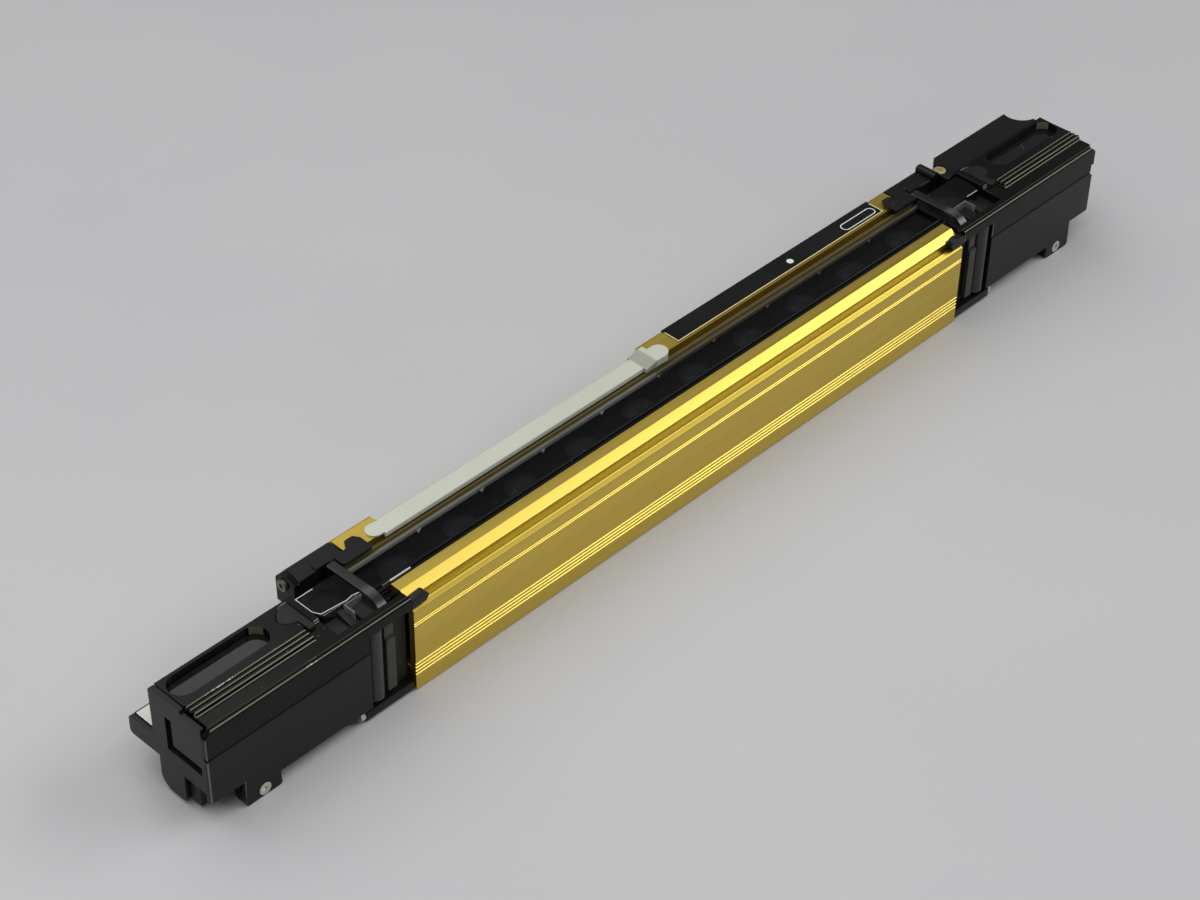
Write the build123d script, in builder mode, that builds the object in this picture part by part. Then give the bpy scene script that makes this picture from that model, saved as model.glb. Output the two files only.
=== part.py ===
from build123d import *

import os

os.makedirs("parts", exist_ok=True)

# Safety light curtain, a bar with a row of beams that looks up along +Z.
# Millimetres. The bar runs along X, its front side faces -Y, and the origin is
# the middle of the underside of the whole device. Z = 0 is the mounting face.
# A drop is measured down from the top of the bar and a rise up from it. A depth
# is measured in from the front face and an inset in from the back face.

# Overall sizes
bar_width = 28.0
bar_height = 28.2
beam_pitch = 20.0
bar_beams = 10              # beams that look out through the long window
end_beams = 3               # beams in each end unit
bar_trim = 4.6              # housing shorter than its beams times their pitch
device_rise = 1.8           # top of the end unit ridges
fit = 0.1                   # running fit of pieces that slide into each other
seam_gap = 0.3              # visible joint line between covers
round_sides = 16            # sides of small round pieces
head_sides = 16             # sides of screw heads

# Housing section
front_land_drop = 3.9       # top of the front face, under the mounting slot
slot_lip_depth = 1.3
slot_lip_drop = 3.2
slot_lip_back = 0.15        # steep back of the lip
slot_floor_drop = 3.4
slot_depth = 2.4
slot_mouth_depth = 2.1
slot_mouth_drop = 1.3
slot_lean_drop = 2.0        # where the slot wall starts to lean out
slot_lean_depth = 2.3
flange_slope_depth = 4.4
front_flange_depth = 7.3    # inner edge of the front flange
back_flange_width = 6.8
flange_thick = 2.0
back_edge_radius = 0.9
foot_edge_radius = 0.5
wall = 1.8
floor_thick = 2.6
ledge_thick = 1.5           # carries the window from below
ledge_reach = 2.0           # ledge beyond the window groove mouth
pane_groove_depth = 1.5     # groove behind each flange edge
pane_thick = 1.7
fine_groove_first = 5.2     # height of the lowest fine groove
fine_groove_pitch = 1.05
fine_groove_count = 4
fine_groove_width = 0.54
fine_groove_depth = 0.35
pair_groove_drops = (8.2, 7.55)
pair_groove_width = 0.3
pair_groove_depth = 0.2
foot_channel_width = 12.0
foot_channel_depth = 1.0
screw_port_radius = 1.0
screw_port_wall = 0.8
screw_port_side = 3.0       # port centre in from the side
screw_port_height = 5.2
through = 1.0               # cutters pass the face that they cut by this much

# Front window and its seals
pane_overhang = 3.3         # window past each end of the housing
seal_inset = 0.2            # seal edge in from the flange
seal_width = 3.2
seal_base = 0.4
bead_radius = 0.5
bead_outer_inset = 1.2      # bead centres in from the flange edge
bead_inner_inset = 2.8
seal_ear_length = 1.9
seal_ear_reach = 0.9
seal_ear_offset = 0.6       # ear centre past the midpoint between two beams

# Optics inside the housing
chassis_end_gap = 1.7       # chassis to each end of the housing
chassis_side_gap = 3.2      # chassis to housing side wall
chassis_wall = 1.5
chassis_web = 2.2
chassis_top_gap = 0.2
lens_diameter = 9.0
lens_hole = 7.4
lens_rim = 0.7
lens_crown = 0.7
lens_taper = 60             # slope of the crown's bevel, degrees from upright
board_shelf_height = 8.0
board_shelf_reach = 1.2
board_shelf_thick = 1.5
board_thick = 1.6
diode_radius = 2.5
diode_rim_radius = 2.9
diode_rim_height = 1.0
diode_height = 4.8

# Label and pale edge strip on the back flange
label_gap = 8.9             # strip notch to label
label_end_gap = 6.6         # label to the right end of the housing
label_inset = 0.5           # label in from the flange edge
label_width = 5.0
label_thick = 0.15
strip_start = 12.0          # notch for the strip, from the left end
strip_end_gap = 94.9        # notch to the right end of the housing
strip_thick = 0.4
strip_edge_thick = 0.1      # strip at its lower back edge
strip_lip = 0.7
strip_lip_drop = 0.8
strip_lap = 0.9             # strip past the flange edge, over the window
strip_top_inset = 2.8       # where its top turns down to the back
strip_notch_inset = 2.7
strip_notch_drop = 3.1      # lower edge of the notch on the back face
left_toe_past = 4.9         # end of the left toe from the notch
left_toe_width = 4.4
left_toe_inset = 5.0        # middle of the left toe
left_foot_length = 1.6
right_toe_past = 4.1
right_toe_width = 4.9
right_toe_overlap = 1.9     # right toe and block past the flange edge
right_toe_drop = 0.9
strip_block_length = 5.0
strip_block_rise = 1.3
strip_block_flat = 1.4      # flat top between ramp and notch end
strip_block_inset = 2.0

# End units, stations are measured outwards from the end of the housing
end_gap = 0.5               # end unit to housing
coupler_length = 13.0
left_cover_past = 6.9       # cover end past the middle of the last beam
right_cover_past = 5.6
left_plate_thick = 1.1
right_plate_thick = 0.8
left_plate_recess = 0.3     # plate in from the cover end
left_slab_gap = 1.9         # cover end to the end of its top slab
right_slab_gap = 0.7
cover_wall = 1.7
cover_half = 5.0            # back of the upper cover behind the beam line
cover_seam_drop = 7.5       # joint between lower and upper cover
seam_half = 0.1
cover_bottom = 3.8
cover_step_bottom = 7.6
cover_front_rise = 0.7
cover_back_rise = 1.5
cover_slab_drop = 1.9
cover_edge_radius = 0.9
cover_end_run = 2.0         # bevel on the top end corner of the skirt
cover_end_fall = 1.7
lip_line_depth = 1.15       # fine groove along the front edge
lip_line_width = 0.4
lip_line_cut = 0.35
ridge_front = 5.4
ridge_back = 8.8
ridge_grooves = (6.6, 7.9)
ridge_inner_end = 24.0
ridge_groove_width = 0.45
ridge_groove_cut = 0.5
ridge_bevel = 0.25
seam_notch_length = 1.0     # notch at the right end of the seam
seam_notch_below = 1.2
seam_notch_above = 2.2
core_clear = 0.2            # core to covers
core_bottom = 3.9
core_foot_bottom = 1.5
core_foot_front = 6.0
core_foot_back = 15.0
coupler_band_drop = 2.7
coupler_floor_depth = 2.4   # front recess of the coupler
well_past = 7.1             # open well past the middle of the first beam
well_front = 3.0

# Lug under each lower cover
lug_start = 40.0
lug_end = 50.1
lug_thick = 4.0
lug_radius = 1.0
lug_screw_station = 44.8
lug_screw_height = 1.9
lug_screw_head = 1.75
lug_screw_shank = 0.8
lug_screw_sink = 1.0
lug_screw_length = 3.2
hex_radius = 0.75
hex_depth = 0.5

# Optical windows and trims in the upper cover
twin_before = 2.4           # oblong window before its first and past its last beam
twin_past = 4.4
twin_width = 7.0
twin_shift = 0.4            # window middle behind the beam line
twin_thick = 1.5
leaf_gap = 3.2              # leaf to the oblong window
leaf_length = 5.4
leaf_stem = 2.0             # length of its narrow foot
leaf_front = 7.9
leaf_margin = 1.1           # leaf to the back of the cover
leaf_reach = 6.3            # front of its round end from the back
leaf_belly = 3.7            # fullest place from the back
leaf_tail = 1.3
leaf_sink = 0.8
leaf_thick = 0.9
single_before = 5.3         # raised window before and past its beam
single_past = 6.8
single_front = 9.5
single_margin = 1.0         # raised window to the back of the cover
single_rise = 0.8
single_corner_run = 1.1
single_corner_depth = 2.5
soft_edge = 0.2             # bevel of small pieces
soft_corner = 0.4
round_corner = 0.6
lens_pocket_depth = 2.3

# Small pieces in the well of the coupler
band_inner = 4.1
band_width = 2.5
band_thick = 0.9
band_rise = 0.7
band_front = 3.2
band_back_inset = 6.5
band_bend_depth = 9.5
band_toe_drop = 0.9
band_toe_inner = 1.6        # bend of the toe on its inner and outer side
band_toe_outer = 1.9
band_toe_lift = 0.6
clip_outer = 12.2
clip_front = 5.9
clip_thick = 0.4
clip_rise = 0.5
clip_gap = 0.1
bracket_inner = 12.6
bracket_outer = 14.3
bracket_front = 3.9
bracket_drop = 0.3
bracket_foot = 0.5
bracket_flat = 0.7
pad_inner = 7.9
pad_outer = 11.4
pad_front = 4.0
pad_back = 8.6
pad_drop = 0.8

# Coupler front: rib, panel, base rail and tongue
rib_inner = 8.3
rib_outer = 12.6
rib_bottom = 4.5
rib_side = 0.6              # straight sides of the rib
rib_bulge = 1.7
panel_inner = 4.9
panel_outer = 7.6
panel_step_drop = 8.1
panel_face_depth = 0.9
panel_step_depth = 1.5
rail_start = 0.5
rail_end = 15.0
rail_bottom = 0.4
rail_top = 3.2
rail_side = 0.3
rail_screw_radius = 1.5
rail_screw_head = 1.2
rail_screw_side = 1.9
rail_screw_height = 1.9
tongue_reach = 4.8
tongue_bend = 3.0           # where its top turns down
tongue_thick = 1.9
tongue_root_rise = -0.2
tongue_top_rise = 0.2
tongue_tip_drop = 1.3
tongue_foot_reach = 3.6
tongue_foot_drop = 2.9
tongue_clear_drop = 3.1     # underside, over the slot lip

# Back of the coupler: flange cover, hook and lug
flange_cover_width = 5.8
flange_cover_end = 13.9
flange_cover_skirt = 1.6
flange_step_inner = 4.9
flange_step_outer = 8.8
flange_step_width = 1.6
flange_step_rise = 0.4
hook_reach = 5.1
hook_root = 3.7
hook_front_inset = 9.3
hook_back_inset = 3.4
hook_nose = 1.0             # slanted corners of the hook
hook_nose_width = 1.6
hook_heel = 0.2
hook_neck = 2.2
hook_thick = 0.8
back_lug_start = 14.0
back_lug_end = 15.9
back_lug_width = 6.5
back_lug_drop = 7.7
back_lug_radius = 2.6
back_lug_top_inset = 4.3
back_lug_tie = 3.2          # depth of the block that ties it to the flange cover
back_screw_inset = 2.7
back_screw_drop = 1.6
back_screw_radius = 1.5
back_screw_head = 0.7

# Left end only: side shelf with its pale plate and the cable grommet
shelf_start = 16.2
shelf_inset = 0.7
shelf_bottom_drop = 20.7
shelf_drop = 12.8
shelf_plate_start = 20.0
shelf_plate_thick = 0.2
shelf_plate_margin = 0.4
shelf_plate_back = 0.8
grommet_station = 28.0
grommet_drop = 16.75
grommet_radius = 3.6
grommet_neck = 2.6
grommet_bore = 2.3
grommet_proud = 0.7
grommet_seat = 2.0
grommet_bevel = 0.4

# Right end only: wide cover, cross bar and upright screw
wide_start = 16.9
wide_rise = 0.3
wide_slant_start = 18.6
wide_slant_inset = 2.7
wide_slant_end = 22.2
wide_curve_length = 3.8     # round end from its start to the cover end
wide_curve_run = 0.3        # middle of the curve from its start
wide_curve_rise = 4.2
wide_curve_foot = 1.9
cross_bar_end = 16.6
cross_bar_width = 6.3
cross_bar_rise = 1.6
cross_bar_round = 1.2
top_screw_station = 18.9
top_screw_inset = 4.7
top_screw_radius = 1.75
top_screw_pocket = 2.2
top_screw_sink = 1.8

# End plates
plate_front = 1.85
plate_rise = 1.8            # top of the left plate
plate_step_drop = 1.2       # its lower front part below its top
plate_step_depth = 8.5
plate_step_round = 0.9
plate_back_gap = 0.2        # plate past the back of the cover
plate_bottom = 9.1
plate_corner = 1.6
plate_tab_inset = 0.2
plate_tab_bottom = 9.7
plate_tab_top = 15.2
plate_tab_corner = 1.3
plate_foot_front = 9.5
plate_foot_back = 17.85
plate_foot_bottom = 1.0
plate_foot_corner = 3.6
plate_slot_width = 2.0
plate_slot_depth = 12.2
plate_slot_bottom = 14.2
plate_slot_drop = 4.2
plate_slot_arm = 2.4
plate_slot_front = 2.8

# Derived places of the bar
bar_length = bar_beams * beam_pitch - bar_trim
device_height = bar_height + device_rise
front_y = -bar_width / 2
slot_lip_height = bar_height - slot_lip_drop
slot_floor_height = bar_height - slot_floor_drop
flange_bottom = bar_height - flange_thick
back_flange_depth = bar_width - back_flange_width
pane_top = flange_bottom - fit
pane_seat = pane_top - pane_thick
ledge_bottom = pane_seat - ledge_thick
chassis_top = ledge_bottom - chassis_top_gap
chassis_length = bar_length - 2 * chassis_end_gap
strip_length = bar_length - strip_start - strip_end_gap
strip_end = strip_start + strip_length
strip_notch_depth = bar_width - strip_notch_inset
strip_notch_foot = bar_height - strip_notch_drop
label_start = strip_end + label_gap
label_length = bar_length - label_end_gap - label_start

# Derived places of the end units
end_beam_first = (bar_beams + 1) / 2 * beam_pitch - bar_length / 2
end_lens_stations = [end_beam_first + number * beam_pitch for number in range(end_beams)]
cover_end = {
    -1: end_lens_stations[-1] + left_cover_past,
    1: end_lens_stations[-1] + right_cover_past,
}
slab_end = {-1: cover_end[-1] - left_slab_gap, 1: cover_end[1] - right_slab_gap}
plate_thick = {-1: left_plate_thick, 1: right_plate_thick}
plate_outer = {-1: cover_end[-1] - left_plate_recess, 1: cover_end[1]}
plate_inner = {way: plate_outer[way] - plate_thick[way] for way in (-1, 1)}
mid_x = (cover_end[-1] - cover_end[1]) / 2
cover_seam = bar_height - cover_seam_drop
cover_top_front = bar_height + cover_front_rise
cover_top_back = bar_height + cover_back_rise
cover_slab_bottom = bar_height - cover_slab_drop
cover_back_depth = bar_width / 2 + cover_half
coupler_band_bottom = bar_height - coupler_band_drop
core_top = cover_slab_bottom - fit
well_outer = end_beam_first + well_past
twin_start = end_lens_stations[1] - twin_before
twin_end = end_lens_stations[-1] + twin_past
twin_middle_depth = bar_width / 2 + twin_shift
leaf_outer = twin_start - leaf_gap
leaf_inner = leaf_outer - leaf_length
leaf_back = cover_back_depth - leaf_margin
single_inner = end_beam_first - single_before
single_outer = end_beam_first + single_past
single_back = cover_back_depth - single_margin
band_top = bar_height + band_rise
shelf_back = bar_width - shelf_inset
shelf_top = bar_height - shelf_drop
grommet_height = bar_height - grommet_drop
wide_top = bar_height + wide_rise
top_screw_depth = bar_width - top_screw_inset
back_lug_top = bar_height - back_screw_drop + back_lug_radius


def station(way, distance):
    """X of a place outside one end of the housing; way is -1 at the left end."""
    return mid_x + way * (bar_length / 2 + distance)


def along(distance):
    """X of a place measured from the left end of the housing."""
    return mid_x - bar_length / 2 + distance


def deep(distance):
    """Y of a place measured in from the front face."""
    return front_y + distance


def beam_x(number):
    """X of a beam of the long window."""
    return mid_x + (number - (bar_beams - 1) / 2) * beam_pitch


def cross_plane(x):
    """Plane across the bar, its own axes along +Y and +Z."""
    return Plane(origin=(x, 0, 0), x_dir=(0, 1, 0), z_dir=(1, 0, 0))


def side_plane(depth):
    """Plane along the bar that looks to the front, its own axes along +X and +Z."""
    return Plane(origin=(0, deep(depth), 0), x_dir=(1, 0, 0), z_dir=(0, -1, 0))


def end_plane(way, place, depth, height):
    """Plane that looks outwards from an end unit, centred on a screw or hole."""
    return Plane(origin=(station(way, place), deep(depth), height), x_dir=(0, 1, 0), z_dir=(way, 0, 0))


def block(x_ends, depths, heights, mode=Mode.ADD):
    """Add or cut a straight block between pairs of places."""
    x_low, x_high = sorted(x_ends)
    middle = ((x_low + x_high) / 2, deep(sum(depths) / 2), sum(heights) / 2)
    with Locations(middle):
        Box(x_high - x_low, depths[1] - depths[0], heights[1] - heights[0], mode=mode)


def end_block(way, stations, depths, heights, mode=Mode.ADD):
    """Straight block between two stations of one end unit."""
    block([station(way, place) for place in stations], depths, heights, mode)


def cross_shape(points):
    """Face in the current cross sketch from (depth, height) points."""
    Polygon(*[(deep(depth), height) for depth, height in points], align=None)


def plan_shape(way, points):
    """Face in the current plan sketch from (station, depth) points."""
    Polygon(*[(station(way, place), deep(depth)) for place, depth in points], align=None)


def side_shape(way, points):
    """Face in the current side sketch from (station, height) points."""
    Polygon(*[(station(way, place), height) for place, height in points], align=None)


def save(piece, name):
    """Name a finished piece and write it."""
    piece.part.label = name
    export_step(piece.part, f"parts/{name}.step")


# Drawn aluminium housing with its mounting slot, grooves and window channel
def housing():
    groove_front = front_flange_depth - pane_groove_depth
    groove_back = back_flange_depth + pane_groove_depth
    ledge_front = groove_front + ledge_reach
    ledge_back = groove_back - ledge_reach
    ports = (screw_port_side, bar_width - screw_port_side)
    with BuildPart() as name:
        with BuildSketch(cross_plane(along(0))):
            with BuildLine():
                Polyline(
                    (deep(0), 0),
                    (deep(0), bar_height - front_land_drop),
                    (deep(slot_lip_depth), slot_lip_height),
                    (deep(slot_lip_depth + slot_lip_back), slot_floor_height),
                    (deep(slot_depth), slot_floor_height),
                    (deep(slot_lean_depth), bar_height - slot_lean_drop),
                    (deep(slot_mouth_depth), bar_height - slot_mouth_drop),
                    (deep(flange_slope_depth), bar_height),
                    (deep(bar_width - back_edge_radius), bar_height),
                )
                RadiusArc(
                    (deep(bar_width - back_edge_radius), bar_height),
                    (deep(bar_width), bar_height - back_edge_radius),
                    back_edge_radius,
                )
                Polyline(
                    (deep(bar_width), bar_height - back_edge_radius),
                    (deep(bar_width), 0),
                    (deep(0), 0),
                )
            make_face()
        extrude(amount=bar_length)
        with BuildSketch(cross_plane(along(0))):
            cross_shape([
                (wall, floor_thick),
                (bar_width - wall, floor_thick),
                (bar_width - wall, ledge_bottom),
                (ledge_back, ledge_bottom),
                (ledge_back, pane_seat - fit),
                (groove_back, pane_seat - fit),
                (groove_back, flange_bottom),
                (back_flange_depth, flange_bottom),
                (back_flange_depth, bar_height + through),
                (front_flange_depth, bar_height + through),
                (front_flange_depth, flange_bottom),
                (groove_front, flange_bottom),
                (groove_front, pane_seat - fit),
                (ledge_front, pane_seat - fit),
                (ledge_front, ledge_bottom),
                (wall, ledge_bottom),
            ])
        extrude(amount=bar_length, mode=Mode.SUBTRACT)
        with BuildSketch(cross_plane(along(0))):
            for depth in ports:
                with Locations((deep(depth), screw_port_height)):
                    RegularPolygon(screw_port_radius + screw_port_wall, round_sides)
            for depth in (screw_port_side / 2, bar_width - screw_port_side / 2):
                with Locations((deep(depth), screw_port_height)):
                    Rectangle(screw_port_side, 2 * screw_port_wall)
            for depth in ports:
                with Locations((deep(depth), screw_port_height)):
                    RegularPolygon(screw_port_radius, round_sides, mode=Mode.SUBTRACT)
        extrude(amount=bar_length)
        with BuildSketch(cross_plane(along(0))):
            for number in range(fine_groove_count):
                height = fine_groove_first + number * fine_groove_pitch
                side_groove(height, fine_groove_width, fine_groove_depth)
            for drop in pair_groove_drops:
                side_groove(bar_height - drop, pair_groove_width, pair_groove_depth)
            with Locations((deep(bar_width / 2), 0)):
                Rectangle(foot_channel_width, 2 * foot_channel_depth)
        extrude(amount=bar_length, mode=Mode.SUBTRACT)
        with BuildSketch(cross_plane(along(strip_start))):
            cross_shape([
                (strip_notch_depth, bar_height + through),
                (strip_notch_depth, bar_height),
                (bar_width, strip_notch_foot),
                (bar_width + through, strip_notch_foot),
                (bar_width + through, bar_height + through),
            ])
        extrude(amount=strip_length, mode=Mode.SUBTRACT)
        foot_edges = name.edges().filter_by(Axis.X).group_by(Axis.Z)[0].sort_by(Axis.Y)
        fillet([foot_edges[0], foot_edges[-1]], foot_edge_radius)
    save(name, "aluminium_housing")


def side_groove(height, width, depth):
    """Fine sharp groove in the front face, in the current cross sketch."""
    cross_shape([(0, height - width / 2), (depth, height), (0, height + width / 2)])


# Smoked window that slides into the grooves behind both flanges
def window():
    depth_low = front_flange_depth - pane_groove_depth + fit
    depth_high = back_flange_depth + pane_groove_depth - fit
    with BuildPart() as name:
        block(
            (along(-pane_overhang), along(bar_length + pane_overhang)),
            (depth_low, depth_high),
            (pane_seat, pane_top),
        )
        chamfer(name.edges().filter_by(Axis.X), fit)
    save(name, "front_window")


# Rubber seal with two beads along each flange; the back one has a small ear
# between every two beams
def seal(label, edge, inward, with_ears):
    def place(inset):
        return edge + inward * inset

    with BuildPart() as name:
        block(
            (along(-pane_overhang), along(bar_length + pane_overhang)),
            sorted((place(seal_inset), place(seal_inset + seal_width))),
            (pane_top, pane_top + seal_base),
        )
        with BuildSketch(cross_plane(along(-pane_overhang))):
            for inset in (bead_outer_inset, bead_inner_inset):
                with Locations((deep(place(inset)), pane_top + bead_radius)):
                    RegularPolygon(bead_radius, round_sides)
        extrude(amount=bar_length + 2 * pane_overhang)
        if with_ears:
            root = place(seal_inset + seal_width - fit)
            tip = place(seal_inset + seal_width + seal_ear_reach)
            with BuildSketch(Plane.XY.offset(pane_top)):
                for number in range(bar_beams - 1):
                    start = beam_x(number) + beam_pitch / 2 + seal_ear_offset - seal_ear_length / 2
                    Polygon(
                        (start, deep(root)),
                        (start + seal_ear_length, deep(root)),
                        (start, deep(tip)),
                        align=None,
                    )
            extrude(amount=seal_base)
    save(name, label)


# Moulded chassis that holds the lenses and the emitter board
def chassis():
    low = wall + chassis_side_gap
    high = bar_width - low
    ends = (mid_x - chassis_length / 2, mid_x + chassis_length / 2)
    with BuildPart() as name:
        block(ends, (low, high), (floor_thick, chassis_top))
        block(
            ends,
            (low + chassis_wall, high - chassis_wall),
            (floor_thick, chassis_top - chassis_web),
            mode=Mode.SUBTRACT,
        )
        for depths in (
            (low + chassis_wall, low + chassis_wall + board_shelf_reach),
            (high - chassis_wall - board_shelf_reach, high - chassis_wall),
        ):
            block(ends, depths, (board_shelf_height, board_shelf_height + board_shelf_thick))
        with BuildSketch(Plane.XY.offset(chassis_top)):
            with Locations(*[(beam_x(number), 0) for number in range(bar_beams)]):
                RegularPolygon(lens_hole / 2, round_sides)
        extrude(amount=-chassis_web, mode=Mode.SUBTRACT)
    save(name, "optics_chassis")


# Lens with a flat rim and a low bevelled crown, standing on its seat
def add_lens(x, seat):
    with BuildSketch(Plane.XY.offset(seat)) as rim:
        with Locations((x, 0)):
            RegularPolygon(lens_diameter / 2, round_sides)
    extrude(rim.sketch, amount=lens_rim)
    with BuildSketch(Plane.XY.offset(seat + lens_rim)) as crown:
        with Locations((x, 0)):
            RegularPolygon(lens_hole / 2, round_sides)
    extrude(crown.sketch, amount=lens_crown, taper=lens_taper)


def bar_lenses():
    with BuildPart() as name:
        for number in range(bar_beams):
            add_lens(beam_x(number), chassis_top)
    save(name, "beam_lenses")


def emitter_board():
    low = wall + chassis_side_gap + chassis_wall + fit
    seat = board_shelf_height + board_shelf_thick
    with BuildPart() as name:
        block(
            (mid_x - chassis_length / 2, mid_x + chassis_length / 2),
            (low, bar_width - low),
            (seat, seat + board_thick),
        )
    save(name, "emitter_board")


def emitter_diodes():
    seat = board_shelf_height + board_shelf_thick + board_thick
    with BuildPart() as name:
        for radius, height in ((diode_rim_radius, diode_rim_height), (diode_radius, diode_height)):
            with BuildSketch(Plane.XY.offset(seat)):
                with Locations(*[(beam_x(number), 0) for number in range(bar_beams)]):
                    RegularPolygon(radius, round_sides)
            extrude(amount=height)
    save(name, "emitter_diodes")


# Long dark plate stuck on the back flange
def label_plate():
    low = back_flange_depth + label_inset
    with BuildPart() as name:
        block(
            (along(label_start), along(label_start + label_length)),
            (low, low + label_width),
            (bar_height, bar_height + label_thick),
        )
    save(name, "label_plate")


# Pale strip that clips over the back flange, with a round toe at each end and
# a raised block with a ramp at the right toe
def edge_strip():
    lip_front = back_flange_depth - strip_lap
    top = bar_height + strip_thick
    block_start = strip_end - strip_block_length
    block_front = back_flange_depth - right_toe_overlap
    block_back = bar_width - strip_block_inset
    block_top = bar_height + strip_block_rise
    block_foot = bar_height - right_toe_drop
    notch_slope = strip_notch_drop / strip_notch_inset
    ramp_end = strip_end - strip_block_flat
    toe_round = right_toe_width / 2
    toe_middle = strip_end + right_toe_past - toe_round
    with BuildPart() as name:
        with BuildSketch(cross_plane(along(block_start))):
            cross_shape([
                (block_front, block_foot),
                (block_front, block_top),
                (block_back, block_top),
                (block_back, bar_height - (block_back - strip_notch_depth) * notch_slope),
                (strip_notch_depth, bar_height),
                (back_flange_depth - fit, bar_height),
                (back_flange_depth - fit, block_foot),
            ])
        extrude(amount=strip_block_length)
        with BuildSketch(side_plane(block_front)):
            Polygon(
                (along(block_start), top),
                (along(block_start), block_top),
                (along(ramp_end), block_top),
                align=None,
            )
        extrude(amount=block_front - block_back, mode=Mode.SUBTRACT)
        with BuildSketch(Plane.XY.offset(block_foot)):
            with Locations((along((ramp_end + toe_middle) / 2), deep(block_front + toe_round))):
                Rectangle(toe_middle - ramp_end, right_toe_width)
            with Locations((along(toe_middle), deep(block_front + toe_round))):
                Circle(toe_round)
        extrude(amount=block_top - block_foot)
        block(
            (along(ramp_end), along(toe_middle + toe_round)),
            (back_flange_depth - fit, block_front + right_toe_width),
            (block_foot, bar_height),
            mode=Mode.SUBTRACT,
        )
        with BuildSketch(cross_plane(along(strip_start))):
            cross_shape([
                (lip_front, top),
                (lip_front, bar_height - strip_lip_drop),
                (lip_front + strip_lip, bar_height - strip_lip_drop),
                (lip_front + strip_lip, bar_height),
                (strip_notch_depth, bar_height),
                (bar_width, strip_notch_foot),
                (bar_width, strip_notch_foot + strip_edge_thick),
                (bar_width - strip_top_inset, top),
            ])
        extrude(amount=strip_length)
        with BuildSketch(Plane.XY.offset(bar_height)):
            with Locations((along(strip_start), deep(bar_width - left_toe_inset))):
                SlotOverall(2 * left_toe_past, left_toe_width)
        extrude(amount=strip_thick)
        block(
            (along(strip_start - left_foot_length), along(strip_start)),
            (lip_front, lip_front + strip_lip),
            (bar_height - strip_lip_drop, top),
        )
        block(
            (along(strip_start - left_foot_length), along(strip_start)),
            (lip_front, bar_width - left_toe_inset),
            (bar_height, top),
        )
    save(name, "edge_strip")


# Moulded core of one end unit, with a neck that fills the coupler, a foot
# behind the end plate and pockets for its lenses
def end_core(way, side):
    inner_depth = cover_wall + core_clear
    back = cover_back_depth - core_clear
    skirt_back = bar_width - flange_cover_skirt - core_clear
    last = plate_inner[way] - fit
    with BuildPart() as name:
        end_block(way, (lug_end + core_clear, last), (inner_depth, back), (cover_step_bottom, core_top))
        end_block(
            way, (coupler_length, lug_end + core_clear), (inner_depth, back), (core_bottom, core_top)
        )
        end_block(
            way,
            (lug_end + core_clear, last),
            (core_foot_front, core_foot_back),
            (core_foot_bottom, cover_step_bottom),
        )
        end_block(
            way,
            (end_gap, coupler_length),
            (coupler_floor_depth, skirt_back),
            (rail_top, pane_seat - core_clear),
        )
        end_block(
            way,
            (pane_overhang + core_clear, coupler_length),
            (coupler_floor_depth, back),
            (pane_seat - core_clear, core_top),
        )
        end_block(
            way,
            (last, plate_inner[way]),
            (plate_front + core_clear, back),
            (plate_bottom + core_clear, pane_seat - core_clear),
        )
        if way > 0:
            end_block(
                way,
                (coupler_length, wide_start - core_clear),
                (back, skirt_back),
                (core_bottom, pane_seat - core_clear),
            )
        with BuildSketch(Plane.XY.offset(core_top)):
            with Locations(*[(station(way, place), 0) for place in end_lens_stations]):
                RegularPolygon(lens_diameter / 2 + fit, round_sides)
        extrude(amount=-lens_pocket_depth, mode=Mode.SUBTRACT)
    save(name, f"{side}_end_core")


def end_lenses(way, side):
    with BuildPart() as name:
        for place in end_lens_stations:
            add_lens(station(way, place), core_top - lens_pocket_depth)
    save(name, f"{side}_end_lenses")


# Lower side cover with its lug
def lower_cover(way, side):
    last = cover_end[way]
    with BuildPart() as name:
        with BuildSketch(side_plane(0)):
            side_shape(way, [
                (coupler_length, cover_seam - seam_half),
                (last, cover_seam - seam_half),
                (last, cover_step_bottom),
                (lug_end, cover_step_bottom),
                (lug_end, 0),
                (lug_start, 0),
                (lug_start, cover_bottom),
                (coupler_length, cover_bottom),
            ])
        extrude(amount=-cover_wall)
        end_block(way, (lug_start, lug_end), (0, lug_thick), (0, cover_bottom))
        foot_edges = name.edges().filter_by(Axis.Y).group_by(Axis.Z)[0]
        fillet(foot_edges, lug_radius)
        for radius, sink in ((lug_screw_head, lug_screw_sink), (lug_screw_shank, lug_thick)):
            with BuildSketch(side_plane(0)):
                with Locations((station(way, lug_screw_station), lug_screw_height)):
                    RegularPolygon(radius, head_sides)
            extrude(amount=-sink, mode=Mode.SUBTRACT)
        if way > 0:
            end_block(
                way,
                (last - seam_notch_length, last),
                (0, cover_wall),
                (cover_seam - seam_notch_below, cover_seam),
                Mode.SUBTRACT,
            )
    save(name, f"{side}_lower_cover")


# Pan head screw along one direction, with a hexagon socket
def add_screw(plane, head_radius, head_height, shank_length):
    with BuildSketch(plane) as head:
        RegularPolygon(head_radius, head_sides)
    extrude(head.sketch, amount=head_height)
    with BuildSketch(plane) as shank:
        RegularPolygon(lug_screw_shank - fit, head_sides)
    extrude(shank.sketch, amount=-shank_length)
    with BuildSketch(plane.offset(head_height)) as socket:
        RegularPolygon(hex_radius, 6)
    extrude(socket.sketch, amount=-hex_depth, mode=Mode.SUBTRACT)


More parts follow.
